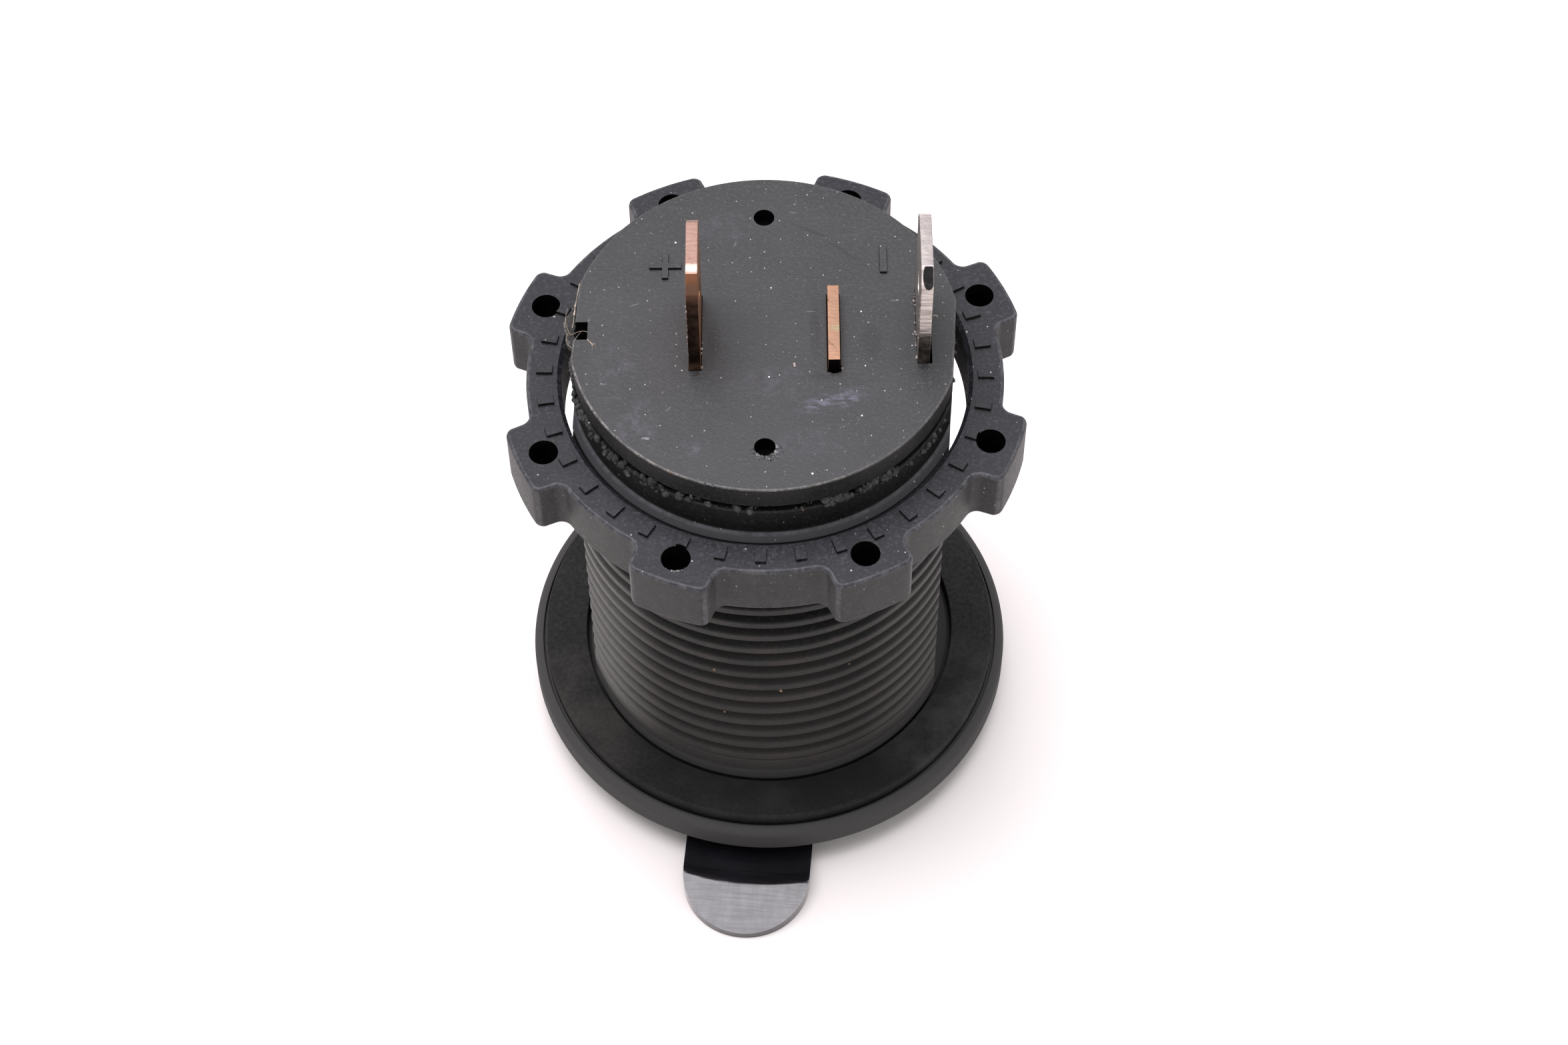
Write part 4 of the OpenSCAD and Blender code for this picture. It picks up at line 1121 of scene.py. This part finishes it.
for first, last, count, size, r_low, r_high, z_low, z_high in ROWS:
    spots += [(*on_wall(draw.uniform(first, last), draw.uniform(r_low, r_high), draw.uniform(z_low, z_high)),
               size * draw.uniform(0.45, 1.15)) for _ in range(count)]
flash_black = nylon("flash_black", (0.007, 0.007, 0.007), (0.022, 0.0215, 0.021), 0.35, (0.12, 0.114, 0.11))
crumbs("weld_flash", spots, flash_black, dent=0.045)

# %% [markdown]
# ## Burrs, swarf and dirt
# The front pit and one hole of the nut have a whitened lip where a tool tore them, chips have come
# off the cover's rim, and a little pale swarf lies along the near edges and feet of the blades. All
# are rows of fine crumbs with a chalky finish. A few crumbs of orange dirt sit on the thread.

# %% Burrs of the pit and chips of the rim
def in_terminals(x, y, z):
    """A point of the terminals' turned frame in the frame of the socket."""
    return *about_axis(x, y, TERMINAL_TURN), z


def chalk(name, dark, pale, size=0.0003):
    """A dull finish that wavers between two shades."""
    made = Finish(name, dark, Roughness=0.7)
    made.coat(made.ramp(made.noise(size, 4), 0.38, 0.62), pale)
    return made.done()


burr_white = chalk("burr_white", (0.03, 0.03, 0.032), (0.20, 0.19, 0.195))
chips = [(256.8 + 0.5 * i, draw.uniform(0.14, 0.26)) for i in range(8)]
for first, last, least, most, count in ((199, 236, 0.08, 0.18, 34), (236, 310, 0.06, 0.13, 22)):
    chips += [(draw.uniform(first, last), draw.uniform(least, most)) for _ in range(count)]
burr = []
for _ in range(70):
    angle = math.radians(draw.uniform(190, 380))
    x, y = polar(PIT_R + 0.02 + abs(draw.gauss(0, 0.2)), angle, (0, -PIT_AT))
    burr.append((*in_terminals(x, y, COVER_BACK + 0.01), draw.uniform(0.08, 0.2)))
crumbs("pit_burr", burr, burr_white)

# %% Swarf at the blades
swarf_pink = chalk("swarf_pink", (0.08, 0.06, 0.055), (0.42, 0.35, 0.32))
MINUS_LEFT = NEGATIVE_X - BLADE_T / 2
PLUS_LEFT, PLUS_RIGHT = -POSITIVE_X - BLADE_T / 2, -POSITIVE_X + BLADE_T / 2
AT_FEET = [  # x, least and most y, count
    (MINUS_LEFT - 0.06, -2.9, 3.2, 26), (PLUS_LEFT - 0.05, -3.3, 2.6, 14), (PLUS_RIGHT + 0.05, -3.3, -1.0, 6),
    (2.0, -3.3, -2.9, 5), (5.18, -3.4, -3.3, 2)]
ON_EDGES = [  # x, y, least and most height, count
    (MINUS_LEFT, -2.93, 39.6, 45.0, 26), (10.22, 2.3, 45.75, 45.9, 3), (PLUS_LEFT, -3.38, 38.0, 44.8, 18)]
swarf = []
for x, low, high, count in AT_FEET:
    swarf += [(*in_terminals(x + draw.uniform(-0.05, 0.05), draw.uniform(low, high), COVER_BACK + 0.03),
               draw.uniform(0.07, 0.2)) for _ in range(count)]
for x, y, low, high, count in ON_EDGES:
    swarf += [(*in_terminals(x + draw.uniform(-0.05, 0.02), y, draw.uniform(low, high)),
               draw.uniform(0.05, 0.13)) for _ in range(count)]
crumbs("swarf", swarf, swarf_pink)

# %% Burr of a nut hole, chips and dirt
torn_hole = polar(HOLE_AT, math.radians(225) + NUT_TURN)
hole_burr = []
for _ in range(12):
    angle = math.radians(draw.uniform(225, 315))
    hole_burr.append((*polar(HOLE_R + 0.02, angle, torn_hole), nut_top, draw.uniform(0.1, 0.2)))
crumbs("hole_burr", hole_burr, burr_white, body="nut")
crumbs("rim_chips", [(*polar(13.2, math.radians(angle)), COVER_BACK - 0.06, size) for angle, size in chips],
       burr_white, dent=0.03)
orange_dirt = chalk("orange_dirt", (0.14, 0.08, 0.045), (0.34, 0.21, 0.12), 0.0004)
dirt = [(*in_terminals(x, y, COVER_BACK - 0.02), size)
        for x, y, size in ((-6.15, -11.7, 0.18), (-5.95, -11.8, 0.12))]
dirt += [(*polar(r, math.radians(angle)), z, size) for angle, r, z, size in (
    (259.4, 13.86, 14.8, 0.3), (279, 13.86, 12.65, 0.26), (286, 13.3, 34.4, 0.16), (262, 13.86, 9.2, 0.2),
    (300, 13.86, 14.2, 0.16))]
crumbs("orange_dirt", dirt, orange_dirt)

# %% [markdown]
# ## Torn flap and fibres
# The notch at the rim is half closed by a torn flap. It is a thin plate whose points are pushed about
# after Subdivide, and its outer edge gets a paler finish, because thin torn nylon turns white. The
# fibres are smooth paths with a round section, turned into meshes.

# %% Torn flap beside the notch
torn_brown = chalk("torn_brown", (0.003, 0.003, 0.003), (0.013, 0.011, 0.010))
torn_pale = chalk("torn_pale", (0.012, 0.010, 0.009), (0.14, 0.118, 0.10))
FLAP_LOW, FLAP_HIGH = 36.3, 36.6
flap = plate("torn_flap", [
    (-12.95, 1.34), (-13.20, 0.80), (-13.46, 0.32), (-13.62, -0.21), (-13.55, -0.72), (-13.36, -1.27),
    (-13.30, -1.83), (-13.14, -2.22), (-12.85, -2.53), (-12.6, -2.3), (-12.75, -1.6), (-12.85, -1.2),
    (-12.8, -0.6), (-12.6, 0.4)], FLAP_LOW, FLAP_HIGH)
with editing(flap):
    bpy.ops.mesh.quads_convert_to_tris()
    bpy.ops.mesh.subdivide(number_cuts=2)
    bpy.ops.transform.vertex_random(offset=0.07, seed=5)
dress(flap, [torn_brown, torn_pale])
paint_faces(flap, 1, lambda face: face.center.x < -13.48 + 0.22 * abs(face.center.y + 0.4)
            + 0.08 * math.sin(9 * face.center.y))
finish_piece(flap, "socket_body", smooth=30)

# %% Fibres
def strand(thick, *points):
    """A fibre: a smooth path through five points with a round section, made a mesh."""
    bpy.ops.object.select_all(action="DESELECT")
    bpy.ops.curve.primitive_nurbs_path_add(location=(0, 0, 0))
    made = bpy.context.active_object
    for point, (x, y, z) in zip(made.data.splines[0].points, points):
        point.co = (x, y, COVER_BACK + z, 1)
    made.data.resolution_u = 4
    made.data.bevel_depth = thick / 2
    made.data.bevel_resolution = 1
    made.data.use_fill_caps = True
    bpy.ops.object.convert(target="MESH")
    return bpy.context.active_object


STRANDS = [  # thickness, and five points with their height above the cover
    (0.048, (-12.93, 2.9, -0.02), (-12.94, 2.4, 0), (-12.95, 1.9, 0), (-12.96, 1.5, 0), (-12.97, 1.2, 0)),
    (0.096, (-12.96, 1.35, 0), (-12.99, 1.0, 0), (-12.95, 0.7, 0), (-12.97, 0.4, 0), (-12.95, 0.1, 0)),
    (0.048, (-13.05, 1.0, 0), (-12.95, 0.8, 0), (-13.05, 0.6, 0), (-12.92, 0.4, 0), (-13.05, 0.2, 0)),
    (0.04, (-13.2, 0.75, -0.2), (-13.0, 0.9, 0), (-12.9, 0.7, 0), (-13.1, 0.35, 0), (-12.9, 0.2, 0)),
    (0.044, (-12.96, 0.0, 0), (-12.93, -0.2, 0), (-12.91, -0.4, 0), (-12.93, -0.7, 0), (-12.97, -0.95, 0)),
    (0.044, (-13.1, -1.42, -0.3), (-12.8, -1.36, -0.05), (-12.5, -1.30, 0.1), (-12.28, -1.16, 0.12),
     (-11.9, -1.20, 0)),
    (0.028, (-12.68, -2.0, 0), (-12.6, -1.75, 0), (-12.5, -1.55, 0), (-12.4, -1.35, 0), (-12.25, -1.2, 0.1)),
    (0.036, (-13.5, 0.9, -0.3), (-13.62, 0.3, -0.15), (-13.5, -0.3, -0.2), (-13.4, -0.9, -0.15),
     (-13.0, -1.4, -0.2)),
    (0.032, (-13.2, -1.2, -0.3), (-13.35, -1.6, -0.2), (-13.25, -2.0, -0.25), (-13.1, -2.3, -0.2),
     (-12.8, -2.5, -0.2)),
    (0.056, (-13.4, -0.6, -0.3), (-13.3, -1.0, -0.1), (-13.1, -1.2, -0.15), (-13.15, -1.5, -0.1),
     (-12.95, -1.35, -0.2)),
    (0.048, (-11.83, -1.78, 0), (-11.75, -1.95, 0.07), (-11.6, -2.05, 0.03), (-11.45, -2.2, 0.07),
     (-11.25, -2.36, 0)),
    (0.04, (-11.83, -1.82, 0), (-11.78, -1.9, 0.04), (-11.68, -2.1, 0.02), (-11.5, -2.15, 0.04),
     (-11.4, -2.3, 0)),
    (0.028, (-11.5, -2.15, 0), (-11.45, -2.3, 0.06), (-11.4, -2.45, 0.02), (-11.37, -2.6, 0.05),
     (-11.4, -2.75, 0)),
    (0.028, (-11.45, -2.2, 0), (-11.35, -2.15, 0.06), (-11.25, -2.12, 0.02), (-11.15, -2.2, 0.05),
     (-11.2, -2.4, 0)),
    (0.048, *[in_terminals(*point) for point in (
        (11.0, -2.95, 5.0), (11.15, -2.98, 5.2), (11.25, -3.0, 5.35), (11.35, -3.0, 5.3), (11.4, -3.0, 5.1))])]
fibres = joined("fibres", [strand(*row) for row in STRANDS])
with editing(fibres):
    clean()
cream = chalk("fibre_cream", (0.16, 0.12, 0.095), (0.42, 0.34, 0.285), 0.0005)
finish_piece(fibres, "socket_body", [cream], smooth=60)

# %% [markdown]
# ## The table, the light and the camera
# The photo was taken on white, so bright that the table has no edge. A wide floor, a big soft lamp
# above and a pale surrounding give that, with only a breath of shadow at the foot of the socket.
# The camera stands where the photo's did: its place was worked out from the circles of the nut, the
# cover and the flange.

# %% Floor
white = Finish("floor_white", (0.83, 0.78, 0.76), Roughness=0.9, Specular_IOR_Level=0.1)
white.coat(white.noise(0.05, 2), (0.85, 0.80, 0.78))
bpy.ops.object.select_all(action="DESELECT")
bpy.ops.mesh.primitive_circle_add(vertices=96, radius=3, fill_type="NGON", location=(0, 0, cap_low.z * MM))
floor = bpy.context.active_object
floor.name = "floor"
dress(floor, [white.done()])

# %% Light
scene = bpy.context.scene
scene.view_settings.view_transform = "Standard"
scene.world = bpy.data.worlds.new("white_room")
scene.world.use_nodes = True
sky = scene.world.node_tree.nodes["Background"]
sky.inputs["Color"].default_value = (0.97, 0.98, 1.0, 1)
sky.inputs["Strength"].default_value = 0.73

LAMP_AT, LAMP_AIM = Vector((-0.12, 0.09, 0.88)), Vector((0, 0, 0.02))
bpy.ops.object.select_all(action="DESELECT")
bpy.ops.object.light_add(type="AREA", location=LAMP_AT)
lamp = bpy.context.active_object
lamp.name = "overhead_panel"
lamp.rotation_euler = (LAMP_AIM - LAMP_AT).to_track_quat("-Z", "Y").to_euler()
lamp.data.size, lamp.data.energy, lamp.data.color = 0.75, 11.3, (0.98, 0.955, 1.0)
print("lamp", round((LAMP_AT - LAMP_AIM).length, 3), "m from the socket")

# %% Camera
CAMERA_AT = (0.013195, -0.129067, 0.20526)
CAMERA_RIGHT = Vector((0.99631, 0.08575, -0.0045))
CAMERA_UP = Vector((-0.06849, 0.82526, 0.56058))
bpy.ops.object.select_all(action="DESELECT")
bpy.ops.object.camera_add(location=CAMERA_AT)
camera = bpy.context.active_object
camera.name = "photo_camera"
back = CAMERA_RIGHT.cross(CAMERA_UP)
camera.rotation_euler = Matrix((CAMERA_RIGHT, CAMERA_UP, back)).transposed().to_euler()
camera.data.lens, camera.data.sensor_width, camera.data.clip_start = 72.145, 36, 0.01
scene.camera = camera
print("camera", round(Vector(CAMERA_AT).length, 3), "m from the origin")
